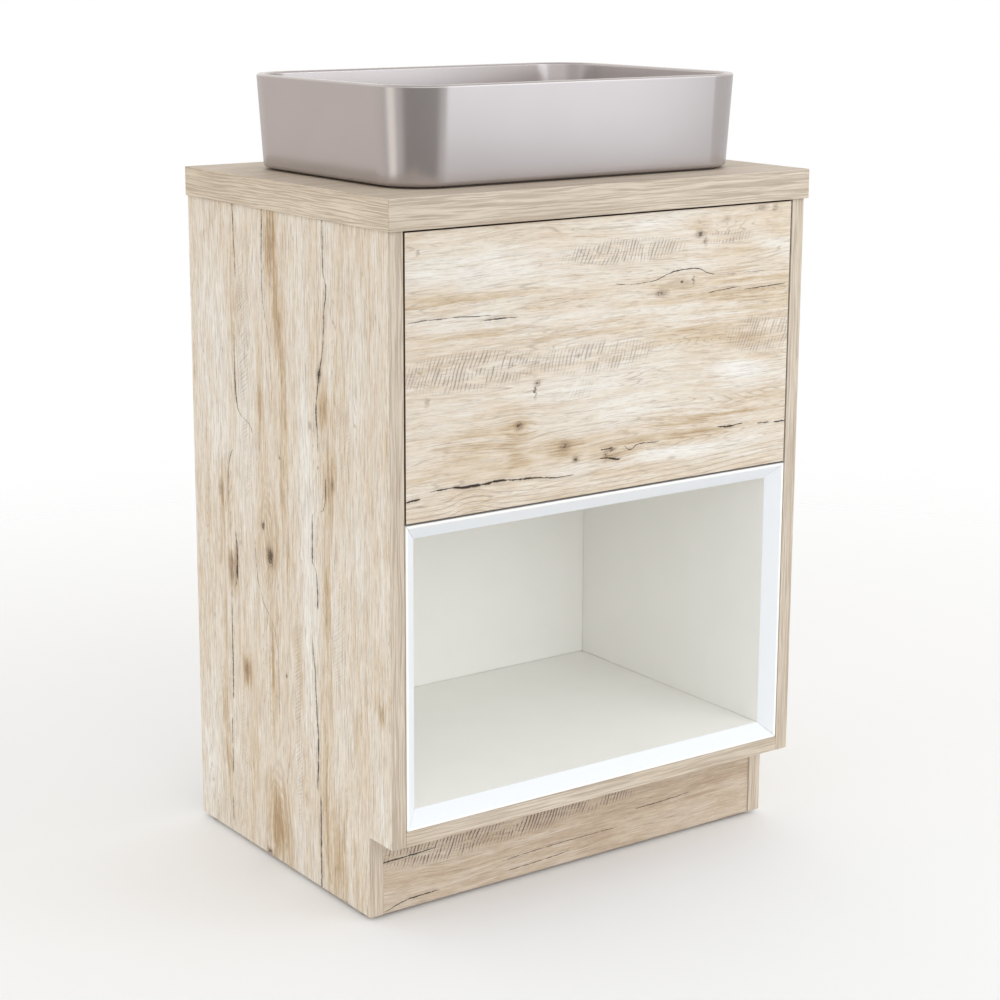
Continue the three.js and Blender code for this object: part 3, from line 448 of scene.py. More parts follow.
def drawer_oak():
    """The drawer front's figure: grain level, marks given by x and by height."""
    b = Board("drawer_oak", 0, 2, -290, 290, tone=0.0, seed=11.0)
    # Painted shade: the drawer front's edge faces are painted dark brown for the shade in the gaps round the
    # drawer.
    b.edges = linear(112, 94, 78)
    b.fibre = 0.24
    b.greyed = 0.09
    b.flecks = 0.28
    b.bulges = [(104, 708, 70, 22), (-125, 566, 50, 26), (-187, 492, 60, 16), (10, 520, 50, 14)]
    b.knots = b.spots(b.spotted, [
        (135, 768, 9, 6, 1.0), (143, 759, 4, 7, 0.8), (78, 703, 14, 6, 0.8), (78, 703, 4, 3, 1.0),
        (109, 713.7, 3.2, 3, 1.1), (126, 714, 2.6, 7, 0.9), (104, 712, 26, 9, 0.45),
        (-100, 616, 6, 4, 1.0), (-103, 608, 2.4, 11, 1.0), (-125, 570, 8, 6, 1.0), (-60, 540, 11, 7, 0.85),
        (-45, 522, 6, 5.5, 0.95), (-42, 642, 3.4, 3.4, 0.8), (-249, 611, 3.6, 6, 0.7),
        (-260, 775, 3, 4, 0.8), (251, 791, 5, 5, 0.8), (7, 527, 9, 3, 1.0), (-1, 521, 5, 8, 0.85),
        (230, 793, 12, 6, 0.7), (176, 783, 6, 4, 0.6),
    ], **KNOT_EDGE)
    b.stains = b.spots(b.blurred, [
        (-190, 716, 130, 14, 0.75), (-60, 706, 110, 12, 0.5), (-200, 678, 130, 12, 0.75),
        (-20, 672, 140, 14, 0.8), (100, 702, 80, 22, 0.65), (210, 690, 130, 50, 0.6),
        (130, 655, 110, 24, 0.6), (230, 745, 90, 10, 0.5),
        (-130, 560, 34, 34, 1.0), (-65, 538, 40, 20, 1.3), (150, 550, 160, 20, 0.85), (30, 524, 60, 15, 1.0),
        (120, 528, 90, 8, 0.7), (-190, 556, 60, 30, 0.6), (-10, 507, 26, 9, 0.6), (220, 640, 60, 14, 0.4),
        (140, 775, 26, 14, 0.8), (-50, 730, 30, 10, 0.4), (78, 703, 30, 10, 0.9), (-128, 540, 20, 22, 1.0),
        (236, 560, 60, 20, 0.5), (-236, 524, 60, 10, 0.5),
    ], **STAIN_EDGE)
    b.pales = b.spots(b.blurred, [
        (-210, 765, 130, 34, 0.7), (198, 600, 56, 20, 1.2), (-5, 600, 140, 40, 0.55),
        (-230, 585, 70, 26, 0.5), (110, 512, 140, 10, 0.75), (250, 748, 70, 7, 0.8),
        (-40, 604, 24, 13, 0.9), (60, 780, 120, 14, 0.5),
    ], **STAIN_EDGE)
    b.saws = b.spots(b.spotted, [
        (22, 756, 96, 16, 1.0), (176, 761, 44, 8, 0.8), (-190, 640, 110, 24, 1.0),
        (-20, 638, 100, 20, 0.8), (235, 642, 62, 26, 0.8), (-40, 604, 24, 13, 0.25),
    ], **SAW_EDGE)
    b.crack(
        [(-276, 503, 1.1), (-259, 504.5, 0.8)],
        [(-245, 510.5, 0.3), (-214, 511.3, 0.9), (-200, 509.7, 1.1), (-169, 509.7, 1.3), (-160, 511, 1.0),
         (-127, 509, 0.9), (-104, 507.7, 0.7), (-90, 506, 0.6), (-64, 503.7, 0.35), (-47, 504.3, 0.2)],
        [(-8, 518, 0.5), (8, 516, 0.9), (21, 514, 0.3)],
        [(25, 529, 0.3), (34, 523, 0.7), (48, 528.5, 0.5), (78, 527.5, 0.3)],
        [(168, 534, 0.3), (186, 532.7, 1.0), (208, 534, 0.3)],
        [(233, 531, 0.4), (250, 530.2, 0.5)],
        [(260, 529.5, 0.5), (277, 529, 0.8)],
    )
    b.crack(
        [(-277, 699.3, 0.2), (-244, 701, 0.4), (-210, 701, 0.3), (-180, 699.3, 0.3), (-163, 699.3, 0.1)],
        [(10, 719, 0.15), (30, 717, 0.3), (60, 717.7, 0.3), (76, 721, 0.5), (90, 725.3, 0.55),
         (106, 727.7, 0.55), (123, 728.3, 0.5), (136, 726.3, 0.4), (153, 719.7, 0.3), (170, 717.7, 0.2),
         (236, 717, 0.15)],
    )
    b.crack(
        [(-178, 693.7, 0.3), (-154, 694.3, 0.5), (-124, 693.7, 0.2)],
        [(-7, 528, 0.7), (8, 528.6, 0.6)],
        [(150, 697, 0.2), (173, 699.3, 0.4), (200, 701, 0.3)],
        [(206, 697, 0.2), (236, 697.7, 0.4), (270, 699, 0.3)],
    )
    b.waves = wavy_foot(b)
    return b.build()


def wavy_foot(b):
    """Growth lines that follow the drawer front's lower edge and arch over a hump at its left."""
    net = b.net
    rises = [(-290, 0), (-235, 1), (-205, 7), (-187, 9), (-168, 6), (-135, 1), (-80, -1),
             (40, 0), (120, 2), (180, 6), (230, 9), (290, 11)]
    drop = b.v - net.curve(b.u, b.low, b.high, rises, -2, 12)
    shaken = net.noise(net.vector(b.u * 0.01, b.v * 0.05, 0.0), 2.0, 0.5) * 6.0
    lines = net.math("SINE", drop * 1.05 + shaken)
    gaps = net.step(net.noise(net.vector(b.u * 0.02, b.v * 0.2, 5.0), 2.0, 0.5), 0.3, 0.6)
    return net.step(lines, 0.55, 1.0) * net.step(drop, 503, 497) * gaps


def side_oak(name, seed):
    """A side panel's figure: grain upright, marks given by height and by distance from the back."""
    back = CAD_BOX[1][1] / MM
    b = Board(name, 2, 1, 0, 800, tone=-0.02, seed=seed)
    b.bulges = [(404, 50, 80, 34), (30, 32, 120, 60)]

    def marks(listed):
        return [(height, back - inward, *rest) for height, inward, *rest in listed]

    b.knots = b.spots(b.spotted, marks([
        (386, 186, 16, 10, 1.15), (421, 170, 8, 5, 1.0), (624, 303.5, 11, 7, 1.05), (445, 68, 13, 8, 0.75),
        (350, 92, 26, 11, 0.75), (350, 102, 14, 3, 0.95), (230, 124, 14, 9, 0.75), (247, 220, 4, 3, 1.0),
        (511, 212, 3, 2.4, 0.95), (562, 282, 6, 4, 0.8), (515, 299, 3, 3, 0.9), (501, 330, 12, 7, 0.75),
        (9, 172, 6, 8, 1.0), (262, 427, 9, 9, 0.5), (594, 108, 9, 3, 0.75), (5, 350, 4, 5, 0.8),
    ]), **KNOT_EDGE)
    b.stains = b.spots(b.blurred, marks([
        (765, 197, 70, 18, 1.8), (700, 208, 70, 12, 1.4), (640, 108, 160, 7, 0.8), (430, 78, 90, 20, 1.1),
        (350, 95, 44, 22, 1.5), (230, 124, 34, 18, 1.5), (50, 195, 70, 38, 1.4), (590, 312, 34, 16, 1.2),
        (500, 322, 44, 20, 1.2), (330, 318, 160, 14, 0.9), (120, 305, 150, 14, 0.9), (262, 427, 24, 18, 1.0),
        (400, 186, 70, 30, 1.0), (540, 165, 80, 14, 0.9), (150, 70, 160, 16, 0.8), (60, 340, 100, 30, 0.9),
        (440, 222, 130, 14, 0.8), (600, 222, 120, 10, 0.8), (250, 190, 120, 16, 0.9),
        (380, 40, 120, 12, 0.5),
    ]), **STAIN_EDGE)
    b.pales = b.spots(b.blurred, marks([
        (420, 268, 420, 17, 0.9), (60, 248, 110, 16, 0.8), (600, 60, 200, 34, 0.3), (640, 388, 120, 22, 0.6),
        (430, 380, 90, 40, 0.5), (60, 20, 90, 24, 0.6), (330, 170, 90, 12, 0.5), (720, 160, 90, 10, 0.4),
        (560, 130, 120, 14, 0.3),
    ]), **STAIN_EDGE)
    b.saws = b.spots(b.spotted, marks([
        (660, 130, 110, 15, 0.7), (500, 134, 60, 13, 0.5), (200, 247, 150, 9, 0.7), (330, 340, 90, 20, 0.3),
        (560, 352, 50, 18, 0.35), (120, 114, 110, 8, 0.4),
    ]), **SAW_EDGE)
    b.saw_slant = 0.7
    b.saw_weight = 0.42
    b.fibre = 0.46
    b.flecks = 0.75
    b.crack(*map(marks, [
        [(5, 294.5, 0.9), (120, 295, 0.7)],
        [(126, 288.5, 0.5), (175, 291.5, 1.0), (225, 288.5, 0.7), (270, 286, 0.6), (310, 281.5, 0.3)],
        [(350, 294, 0.8), (395, 291.5, 0.3)],
        [(402, 283, 0.9), (435, 284, 0.7), (460, 285, 0.2)],
        [(465, 307, 0.3), (505, 315, 0.5)],
        [(535, 298.5, 0.3), (560, 298, 0.5), (580, 296, 1.1), (600, 298.5, 0.6), (625, 304, 1.0),
         (635, 307, 0.8), (670, 314, 0.5), (700, 316, 0.6), (725, 320.5, 0.6), (740, 315, 0.5),
         (800, 314, 0.6)],
    ]))
    b.crack(*map(marks, [
        [(20, 81, 0.5), (55, 81, 0.4)],
        [(85, 83, 0.5), (155, 83, 0.5)],
        [(185, 87.5, 0.8), (320, 89, 0.4)],
        [(332, 101, 0.6), (365, 105, 1.0), (400, 102, 0.3)],
        [(440, 85, 0.3), (500, 97, 0.4)],
        [(530, 147, 0.3), (545, 125, 0.5), (557, 113, 0.6), (582, 109, 1.0), (602, 108, 0.5),
         (660, 109, 0.2)],
        [(715, 114, 0.4), (775, 111, 0.5), (800, 110, 0.9)],
    ]))
    b.crack(*map(marks, [
        [(190, 202, 0.2), (270, 200, 0.2), (330, 165, 0.3), (400, 150, 0.2)],
        [(560, 196, 0.15), (640, 192, 0.2), (722, 177, 0.4), (800, 180, 0.7)],
    ]))
    net = b.net
    bent = b.bent(b.cloudy, 60.0, 24.0)

    def ringed(u, v, half_u, half_v, turns, fade, strength):
        """Growth rings round a point, fading outwards."""
        near = b.spot(bent, u, v, half_u, half_v)
        rings = net.math("SINE", near * turns) * 0.5 + 0.5
        return net.step(near, 0.0, fade) * rings * strength

    arch = ringed(20, back - 195, 150, 42, 52.0, 0.35, 0.8)
    swirl = ringed(404, back - 180, 110, 34, 40.0, 0.4, 0.6)
    b.rings = arch + swirl
    return b.build()


def plinth_oak():
    """The plinth's figure: darker and greyer, with heavy saw strokes along its top."""
    b = Board("plinth_oak", 0, 2, -290, 290, tone=0.34, seed=37.0)
    b.knots = b.spots(b.spotted, [(-225, 62, 3, 3, 0.5)], **KNOT_EDGE)
    b.stains = b.spots(b.blurred, [(0, 100, 300, 12, 0.4), (230, 60, 60, 16, 0.5)], **STAIN_EDGE)
    b.pales = b.spots(b.blurred, [(-90, 50, 170, 8, 0.7), (180, 40, 90, 18, 0.4)], **STAIN_EDGE)
    b.saws = b.spots(b.spotted, [
        (-190, 74, 110, 24, 1.0), (-90, 76, 110, 22, 1.0), (20, 80, 90, 18, 0.9), (100, 94, 50, 8, 0.5),
    ], **SAW_EDGE)
    b.saw_slant = -0.42
    b.saw_colour = linear(112, 90, 78)
    b.saw_weight = 0.9
    b.greyed = 0.42
    b.crack(
        [(-279, 68, 0.7), (-232, 69, 0.6), (-205, 70, 0.2)],
        [(-100, 16, 0.2), (-60, 17, 0.3), (-10, 20, 0.2)],
        [(90, 50, 0.2), (130, 51, 0.35), (180, 53, 0.2)],
    )
    b.crack(
        [(-275, 8, 0.3), (-220, 16, 0.6), (-200, 16, 0.2)],
        [(-110, 30, 0.2), (0, 33, 0.3), (60, 33, 0.2)],
    )
    return b.build()


def plain_oak(name, along, across, tone, light, seed=0.0):
    """Straight fine-grained oak, as on the worktop and the edge bands."""
    net = new_net(name)
    place = net.place()
    u = place[along]
    v = place[across]
    w = place[3 - along - across] + seed
    flow = v + (net.figure(PLAIN_FIGURE["sway"], u, v, w) - 0.5) * 7.0
    bands = net.figure(PLAIN_FIGURE["bands"], u, flow, w)
    lines = net.figure(PLAIN_FIGURE["lines"], u, flow, w)
    pores = net.figure(PLAIN_FIGURE["pores"], u, flow, w)
    deep, fair = tone
    colour = net.mix(linear(*deep), linear(*fair), net.step(bands, 0.34, 0.66))
    line = net.step(lines, 0.44, 0.62)
    dash = net.step(pores, 0.48, 0.66)
    colour = net.mix(colour, linear(*light), line * 0.55)
    colour = net.mix(colour, linear(*light), dash * 0.42)
    height = line * -0.6 - dash * 0.6
    return net.finish(colour, net.step(line, 0.0, 1.0, 0.52, 0.62), height, 0.10, Specular_IOR_Level=0.35)


# ------------------------------------------------------------------ other finishes
def smooth_finish(name, colour, roughness, grain=0.02, bump=0.01, mottle=0.03, painted_mitre_tint=None, **constants):
    """A moulded, foiled or coated surface: a faint mottle, and a fine texture in its gloss and relief.

    The mitre colour is a painted cool light tint on faces that lie at a slant to the front, for the front
    light falling on the bevels.
    """
    net = new_net(name)
    x, y, z = net.place()
    place = net.vector(x, y, z)
    coarse = net.noise(place, 3.0, 0.5, scale=0.02)
    fine = net.noise(place, 2.0, 0.5, scale=1.4)
    shade = net.step(coarse, 0.3, 0.7, 1 - mottle, 1.0)
    tint = net.vector(shade, shade, shade)
    painted = net.mix(linear(*colour), tint, 1.0, blend="MULTIPLY")
    if painted_mitre_tint is not None:
        # Painted light: faces at a slant to the front, the mitred bevels, get a cooler, greyer tint for the
        # front light falling on them.
        square = net.facing(1)
        painted_mitre_mask = net.step(square, 0.3, 0.45) * net.step(square, 0.95, 0.85)
        painted = net.mix(painted, linear(*painted_mitre_tint), painted_mitre_mask)
    rough = net.step(fine, 0.25, 0.75, roughness - grain, roughness + grain)
    return net.finish(painted, rough, fine, bump, **constants)


def brushed_metal(name, colour, roughness, along):
    """Zinc-coated steel with faint rolling lines along one axis."""
    net = new_net(name)
    place = net.place()
    stretched = [c * (0.02 if i == along else 1.6) for i, c in enumerate(place)]
    lines = net.noise(net.vector(*stretched), 3.0, 0.6)
    cloud = net.noise(net.vector(*place), 3.0, 0.6, scale=0.05)
    shade = net.step(cloud, 0.3, 0.7, 0.88, 1.0)
    painted = net.mix(linear(*colour), net.vector(shade, shade, shade), 1.0, blend="MULTIPLY")
    rough = net.step(lines, 0.3, 0.7, roughness - 0.06, roughness + 0.08)
    return net.finish(painted, rough, lines, 0.01, Metallic=1.0)


# The finish of every piece in a material slot.
SLOT_FINISHES = {
    # The white foil's mitred bevels get a painted cool light tint.
    "white_foil": smooth_finish("white_foil", (249, 248, 243), 0.42, bump=0.012, mottle=0.012,
                                painted_mitre_tint=(236, 239, 242), Specular_IOR_Level=0.2),
    "white_board": smooth_finish("white_board", (236, 235, 231), 0.5, bump=0.03, mottle=0.03),
    "basin_glaze": smooth_finish("basin_glaze", (180, 173, 171), 0.22, grain=0.02, bump=0.003, mottle=0.02,
                                 Metallic=0.64),
    "chrome": smooth_finish("chrome", (226, 228, 230), 0.07, grain=0.02, bump=0.0, mottle=0.02,
                            Metallic=1.0),
    "zinc_steel": brushed_metal("zinc_steel", (190, 194, 198), 0.34, 1),
    "trap_plastic": smooth_finish("trap_plastic", (240, 240, 237), 0.28, bump=0.004, mottle=0.02),
    "grey_plastic": smooth_finish("grey_plastic", (158, 156, 150), 0.5, bump=0.02, mottle=0.05),
    "latch_plastic": smooth_finish("latch_plastic", (168, 168, 166), 0.42, bump=0.02, mottle=0.04),
    "rubber": smooth_finish("rubber", (46, 46, 46), 0.7, bump=0.02, mottle=0.1),
    "sealant": smooth_finish("sealant", (96, 86, 80), 0.45, bump=0.01, mottle=0.05),
}
BAND_TONES = ((204, 190, 170), (215, 202, 185))
BAND_PORE = (160, 142, 122)
ALONG_X = plain_oak("edge_oak_x", 0, 2, BAND_TONES, BAND_PORE)
ALONG_Y = plain_oak("edge_oak_y", 1, 2, ((210, 195, 174), (222, 209, 189)), BAND_PORE, seed=5.0)
ALONG_Z = plain_oak("edge_oak_z", 2, 0, BAND_TONES, BAND_PORE, seed=9.0)
WORKTOP_OAK = plain_oak("worktop_oak", 0, 1, ((198, 184, 166), (211, 198, 182)), (166, 148, 128), seed=21.0)
BOTTOM_OAK = plain_oak("bottom_oak", 0, 1, ((206, 192, 173), (220, 208, 191)), (178, 159, 138), seed=44.0)
# An oak board's own finish, used before its slot's.
NODE_FINISHES = {
    "worktop": WORKTOP_OAK,
    "bottom_panel": BOTTOM_OAK,
    "side_panel_left": side_oak("side_oak_left", 3.0),
    "side_panel_right": side_oak("side_oak_right", 71.0),
    "drawer_front": drawer_oak(),
    "plinth_board": plinth_oak(),
    "worktop_band_front": ALONG_X,
    "worktop_band_left": ALONG_Y,
    "worktop_band_right": ALONG_Y,
    "bottom_band": ALONG_X,
    "side_band_left": ALONG_Z,
    "side_band_right": ALONG_Z,
    "toe_band_left": ALONG_Z,
    "toe_band_right": ALONG_Z,
}

for part in frame["record"]["subparts"]:
    node = part["node"]
    finish = NODE_FINISHES.get(node) or SLOT_FINISHES[part["material_slot"]]
    for entry in NODES[node].material_slots:
        entry.material = finish


def ease_edges(node, width, segments=2):
    """A rounded edge on a board whose shape stays the CAD's."""
    board = NODES[node]
    weld = board.modifiers.new("weld", "WELD")
    weld.merge_threshold = 0.00001
    bevel = board.modifiers.new("bevel", "BEVEL")
    bevel.width = width * MM
    bevel.segments = segments
    bevel.limit_method = "ANGLE"
    bevel.angle_limit = math.radians(25)
    bevel.harden_normals = True


for node in NODE_FINISHES:
    ease_edges(node, 0.4 if "band" in node else 0.3)
for node in NODES:
    if node.startswith("niche_"):
        ease_edges(node, 0.5, 3)


def stand_in(name, node, verts, faces, crease=32):
    """A piece in place of a CAD node, from vertices in millimetres in the row frame."""
    mesh = bpy.data.meshes.new(name)
    mesh.from_pydata([Vector(v) * MM for v in verts], [], faces)
    work = bmesh.new()
    work.from_mesh(mesh)
    bmesh.ops.remove_doubles(work, verts=work.verts, dist=0.000001)
    bmesh.ops.recalc_face_normals(work, faces=work.faces)
    work.to_mesh(mesh)
    work.free()
    for face in mesh.polygons:
        face.use_smooth = True
    mesh.set_sharp_from_angle(angle=math.radians(crease))
    mesh.materials.append(NODES[node].material_slots[0].material)
    piece = bpy.data.objects.new(name, mesh)
    bpy.context.scene.collection.objects.link(piece)
    even = piece.modifiers.new("even", "WEIGHTED_NORMAL")
    even.keep_sharp = True
    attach(piece, NODES[node].parent.name.split(":")[1])
    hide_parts(node)
    return piece


def box_of(node):
    """A CAD node's lowest and highest corners in millimetres."""
    return [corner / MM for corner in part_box(node)]


def half_width(node):
    """Half a CAD node's size along X, which is a round part's radius."""
    low, high = box_of(node)
    return (high.x - low.x) / 2


def skin(rings):
    """Faces through rings that all have the same number of points, the last ring joined to the first."""
    count = len(rings[0])
    verts = [point for ring in rings for point in ring]
    faces = []
    for i in range(len(rings)):
        here = i * count
        there = ((i + 1) % len(rings)) * count
        for k in range(count):
            after = (k + 1) % count
            faces.append((here + k, here + after, there + after, there + k))
    return verts, faces


def joined(*shells):
    verts = []
    faces = []
    for shell_verts, shell_faces in shells:
        start = len(verts)
        verts += shell_verts
        faces += [tuple(i + start for i in face) for face in shell_faces]
    return verts, faces


def arc(centre_a, centre_b, radius, start, end, steps=6):
    """Points (a, b) round a centre, with angles in degrees."""
    angles = [math.radians(start + (end - start) * i / steps) for i in range(steps + 1)]
    return [(centre_a + radius * math.cos(t), centre_b + radius * math.sin(t)) for t in angles]


def eased(points, radius, steps=4):
    """A closed outline with its corners rounded."""
    out = []
    count = len(points)
    for i in range(count):
        before, corner, after = [Vector(points[(i + k) % count]) for k in (-1, 0, 1)]
        reach = min(radius, (corner - before).length * 0.45, (after - corner).length * 0.45)
        if corner.x < 0.01 or reach < 0.01:
            out.append(tuple(corner))
            continue
        start = corner + (before - corner).normalized() * reach
        end = corner + (after - corner).normalized() * reach
        for k in range(steps + 1):
            t = k / steps
            out.append(tuple(start * (1 - t) ** 2 + corner * 2 * t * (1 - t) + end * t * t))
    return out


def turned(outline, steps=72, shape=None, height=None, x=0.0, y=0.0):
    """An outline of (radius, height) turned about Z, or about Y at a height if one is given.

    shape(angle, radius) can make the section other than round.
    """
    rings = []
    for radius, along in outline:
        ring = []
        for k in range(steps):
            angle = FULL_TURN * k / steps
            r = shape(angle, radius) if shape else radius
            a = r * math.cos(angle)
            b = r * math.sin(angle)
            ring.append((a + x, b + y, along) if height is None else (a, along, height + b))
        rings.append(ring)
    return skin(rings)


def block(low, high):
    corners = [(x, y, z) for z in (low[2], high[2]) for y in (low[1], high[1]) for x in (low[0], high[0])]
    return corners, [(0, 2, 3, 1), (4, 5, 7, 6), (0, 1, 5, 4), (2, 6, 7, 3), (0, 4, 6, 2), (1, 3, 7, 5)]


# ------------------------------------------------------------------ basin
BASIN_CORNER = 64
BASIN_TAPER = 7
BASIN_WALL = 9
BASIN_FLOOR = 14
BASIN_COVE = 40
BASIN_FALL = 3
BASIN_RIM = 3
BASIN_FOOT = 5
BASIN_HOLE = 45
WASTE_SEAT = 33.3


def rounded_ring(half_x, half_y, radius, height, steps=28):
    ring = []
    for quarter, (sign_x, sign_y) in enumerate(((1, 1), (-1, 1), (-1, -1), (1, -1))):
        for i in range(steps + 1):
            angle = (quarter + i / steps) * math.pi / 2
            x = sign_x * (half_x - radius) + radius * math.cos(angle)
            y = sign_y * (half_y - radius) + radius * math.sin(angle)
            ring.append((x, y, height))
    return ring


def make_basin():
    low, high = box_of("basin_bowl")
    base, top = low.z, high.z
    floor = base + BASIN_FLOOR

    def ring(inset, height):
        drawn_in = BASIN_TAPER * (top - height) / (top - base) + inset
        radius = max(BASIN_CORNER - drawn_in, BASIN_CORNER / 4)
        return rounded_ring(high.x - drawn_in, high.y - drawn_in, radius, height)

    outline = arc(BASIN_FOOT, base + BASIN_FOOT, BASIN_FOOT, 270, 180)
    outline += [(0, base + (top - base) * t) for t in (0.25, 0.5, 0.75)]
    outline += arc(BASIN_RIM, top - BASIN_RIM, BASIN_RIM, 180, 90)
    outline += arc(BASIN_WALL - BASIN_RIM, top - BASIN_RIM, BASIN_RIM, 90, 0)
    cove = arc(BASIN_WALL + BASIN_COVE, floor + BASIN_COVE, BASIN_COVE, 180, 270, 16)
    rings = [ring(*point) for point in outline + cove]
    edge_x, edge_y = rings[-1][0][0], max(y for _, y, _ in rings[-1])
    corner = BASIN_CORNER / 4
    for i in range(1, 9):
        t = i / 8
        sink = t * t * (3 - 2 * t)
        half_x = edge_x + (WASTE_SEAT - edge_x) * t
        half_y = edge_y + (WASTE_SEAT - edge_y) * t
        radius = corner + (WASTE_SEAT - 3 - corner) * t
        rings.append(rounded_ring(half_x, half_y, radius, floor - BASIN_FALL * sink))
    hole = BASIN_HOLE / 2
    rings.append(rounded_ring(hole + 1, hole + 1, hole + 1, floor - BASIN_FALL))
    rings.append(rounded_ring(hole, hole, hole, floor - BASIN_FALL - 1))
    rings.append(rounded_ring(hole, hole, hole, base))
    stand_in("basin", "basin_bowl", *skin(rings), crease=40)


# ------------------------------------------------------------------ waste and trap
FIT = 0.4
WASTE_RADIUS = 20.5
WASTE_BORE = 16.5
FLANGE_THICKNESS = 3
FLANGE_EDGE = 1.4
THREAD_PITCH = 2
THREAD_TURNS = 18
THREAD_PROFILE = ((0.0, 0.5), (0.35, 0.0), (0.55, 0.0), (0.9, 0.5))
GUIDE_HEIGHT = 14
GUIDE_HALF = 2.5
PLUG_STEM = 4
PLUG_HEAD = 5
PIPE_WALL = 2
NECK_WALL = 5
NECK_LENGTH = 14
TRAP_WALL = 4
CUP_WALL = 3
CUP_CORNER = 10
CUP_RIBS = 24
FINE = 96


def octagon(flats, roundness=1.6):
    """A shape that limits a turned outline to eight rounded flats."""

    def section(angle, radius):
        off = (angle + EIGHTH / 2) % EIGHTH - EIGHTH / 2
        return min(radius, flats / 2 / math.cos(off) - roundness * (abs(off) / (EIGHTH / 2)) ** 6)

    return section


def across_flats(node):
    """The width across the flats of an eight-sided nut."""
    return 2 * half_width(node) * math.cos(EIGHTH / 2)


def ribbed(outer, count, depth):
    """A shape with grip ribs on whatever lies near the outer radius."""

    def section(angle, radius):
        near = max(0.0, min(1.0, (radius - outer + 1.5) / 1.5))
        groove = 0.5 - 0.5 * math.cos(angle * count)
        return radius - depth * near * groove ** 3

    return section


def sleeve(inner, outer, start, end, edge):
    """The outline of a tube's wall, with its edges eased."""
    return eased([(inner, start), (outer, start), (outer, end), (inner, end)], edge)


def make_waste():
    """The waste's flanged and threaded body, with the bar and bush that guide the plug."""
    low, high = box_of("waste_body")
    flange = half_width("waste_body")
    flange_base = high.z - FLANGE_THICKNESS
    outline = [(WASTE_BORE, low.z)]
    for turn in range(THREAD_TURNS):
        start = low.z + 1 + turn * THREAD_PITCH
        outline += [(WASTE_RADIUS - depth, start + share * THREAD_PITCH) for share, depth in THREAD_PROFILE]
    thread_end = low.z + 2 + THREAD_TURNS * THREAD_PITCH
    outline += [(WASTE_RADIUS, thread_end), (WASTE_RADIUS, flange_base), (flange, flange_base)]
    outline += arc(flange - FLANGE_EDGE, high.z - FLANGE_EDGE, FLANGE_EDGE, 0, 90)
    for inward, down in ((6, 0.3), (9, 1.1), (14, 1.6), (flange - WASTE_BORE, 2.4)):
        outline.append((flange - inward, high.z - down))
    guide_top = high.z - GUIDE_HEIGHT
    guide_base = guide_top - GUIDE_HEIGHT
    reach = WASTE_BORE + 2
    bar = block((-reach, -GUIDE_HALF, guide_base), (reach, GUIDE_HALF, guide_top))
    bush = turned(sleeve(PLUG_STEM + 0.3, PLUG_STEM + 3.5, guide_base, guide_top, 0.6))
    stand_in("waste", "waste_body", *joined(turned(outline, FINE), bar, bush))


def make_plug():
    low, high = box_of("waste_plug")
    edge = half_width("waste_plug")
    under = high.z - PLUG_HEAD
    outline = [(0, low.z), (PLUG_STEM - 1, low.z), (PLUG_STEM, low.z + 1), (PLUG_STEM, under)]
    outline += [(edge - 0.5, under), (edge, under + 0.5)]
    outline += arc(edge - 2, high.z - 2.6, 2, 0, 80)
    outline += [(edge - 8, high.z - 0.28), (edge - 16, high.z - 0.1), (0, high.z)]
    stand_in("plug", "waste_plug", *turned(outline, FINE))


def make_backnut():
    """The nut and washer that hold the waste from below."""
    low, high = box_of("waste_backnut")
    bore = WASTE_RADIUS + FIT
    face = half_width("waste_backnut") * 1.05
    edge = half_width("waste_backnut") * 1.09
    outline = [(bore, low.z), (face, low.z), (edge, low.z + 1.5), (edge, high.z - 1.5), (face, high.z),
               (bore, high.z)]
    section = octagon(across_flats("waste_backnut"))
    stand_in("backnut", "waste_backnut", *turned(eased(outline, 0.4), FINE, section))
    low, high = box_of("waste_washer")
    outline = sleeve(bore, half_width("waste_washer"), low.z, high.z, 0.9)
    stand_in("washer", "waste_washer", *turned(outline, FINE))


def make_slip_nut(name, node, pipe, thread, up=True, height=None):
    """A slip nut; its narrow lip is at its low end, or at its high end if up is false."""
    low, high = box_of(node)
    first, last = (low.z, high.z) if height is None else (low.y, high.y)
    if not up:
        first, last = last, first
    sense = 1 if last > first else -1
    flats = across_flats(node)
    edge = flats / 2 * 1.08
    bore = pipe + FIT
    lip = first + 4 * sense
    outline = [(bore, first), (edge - 2.5, first), (edge, first + 2.5 * sense), (edge, last - 1.5 * sense),
               (edge - 1.5, last), (thread, last), (thread, lip), (bore, lip)]
    stand_in(name, node, *turned(eased(outline, 0.7), FINE, octagon(flats, 1.2), height))


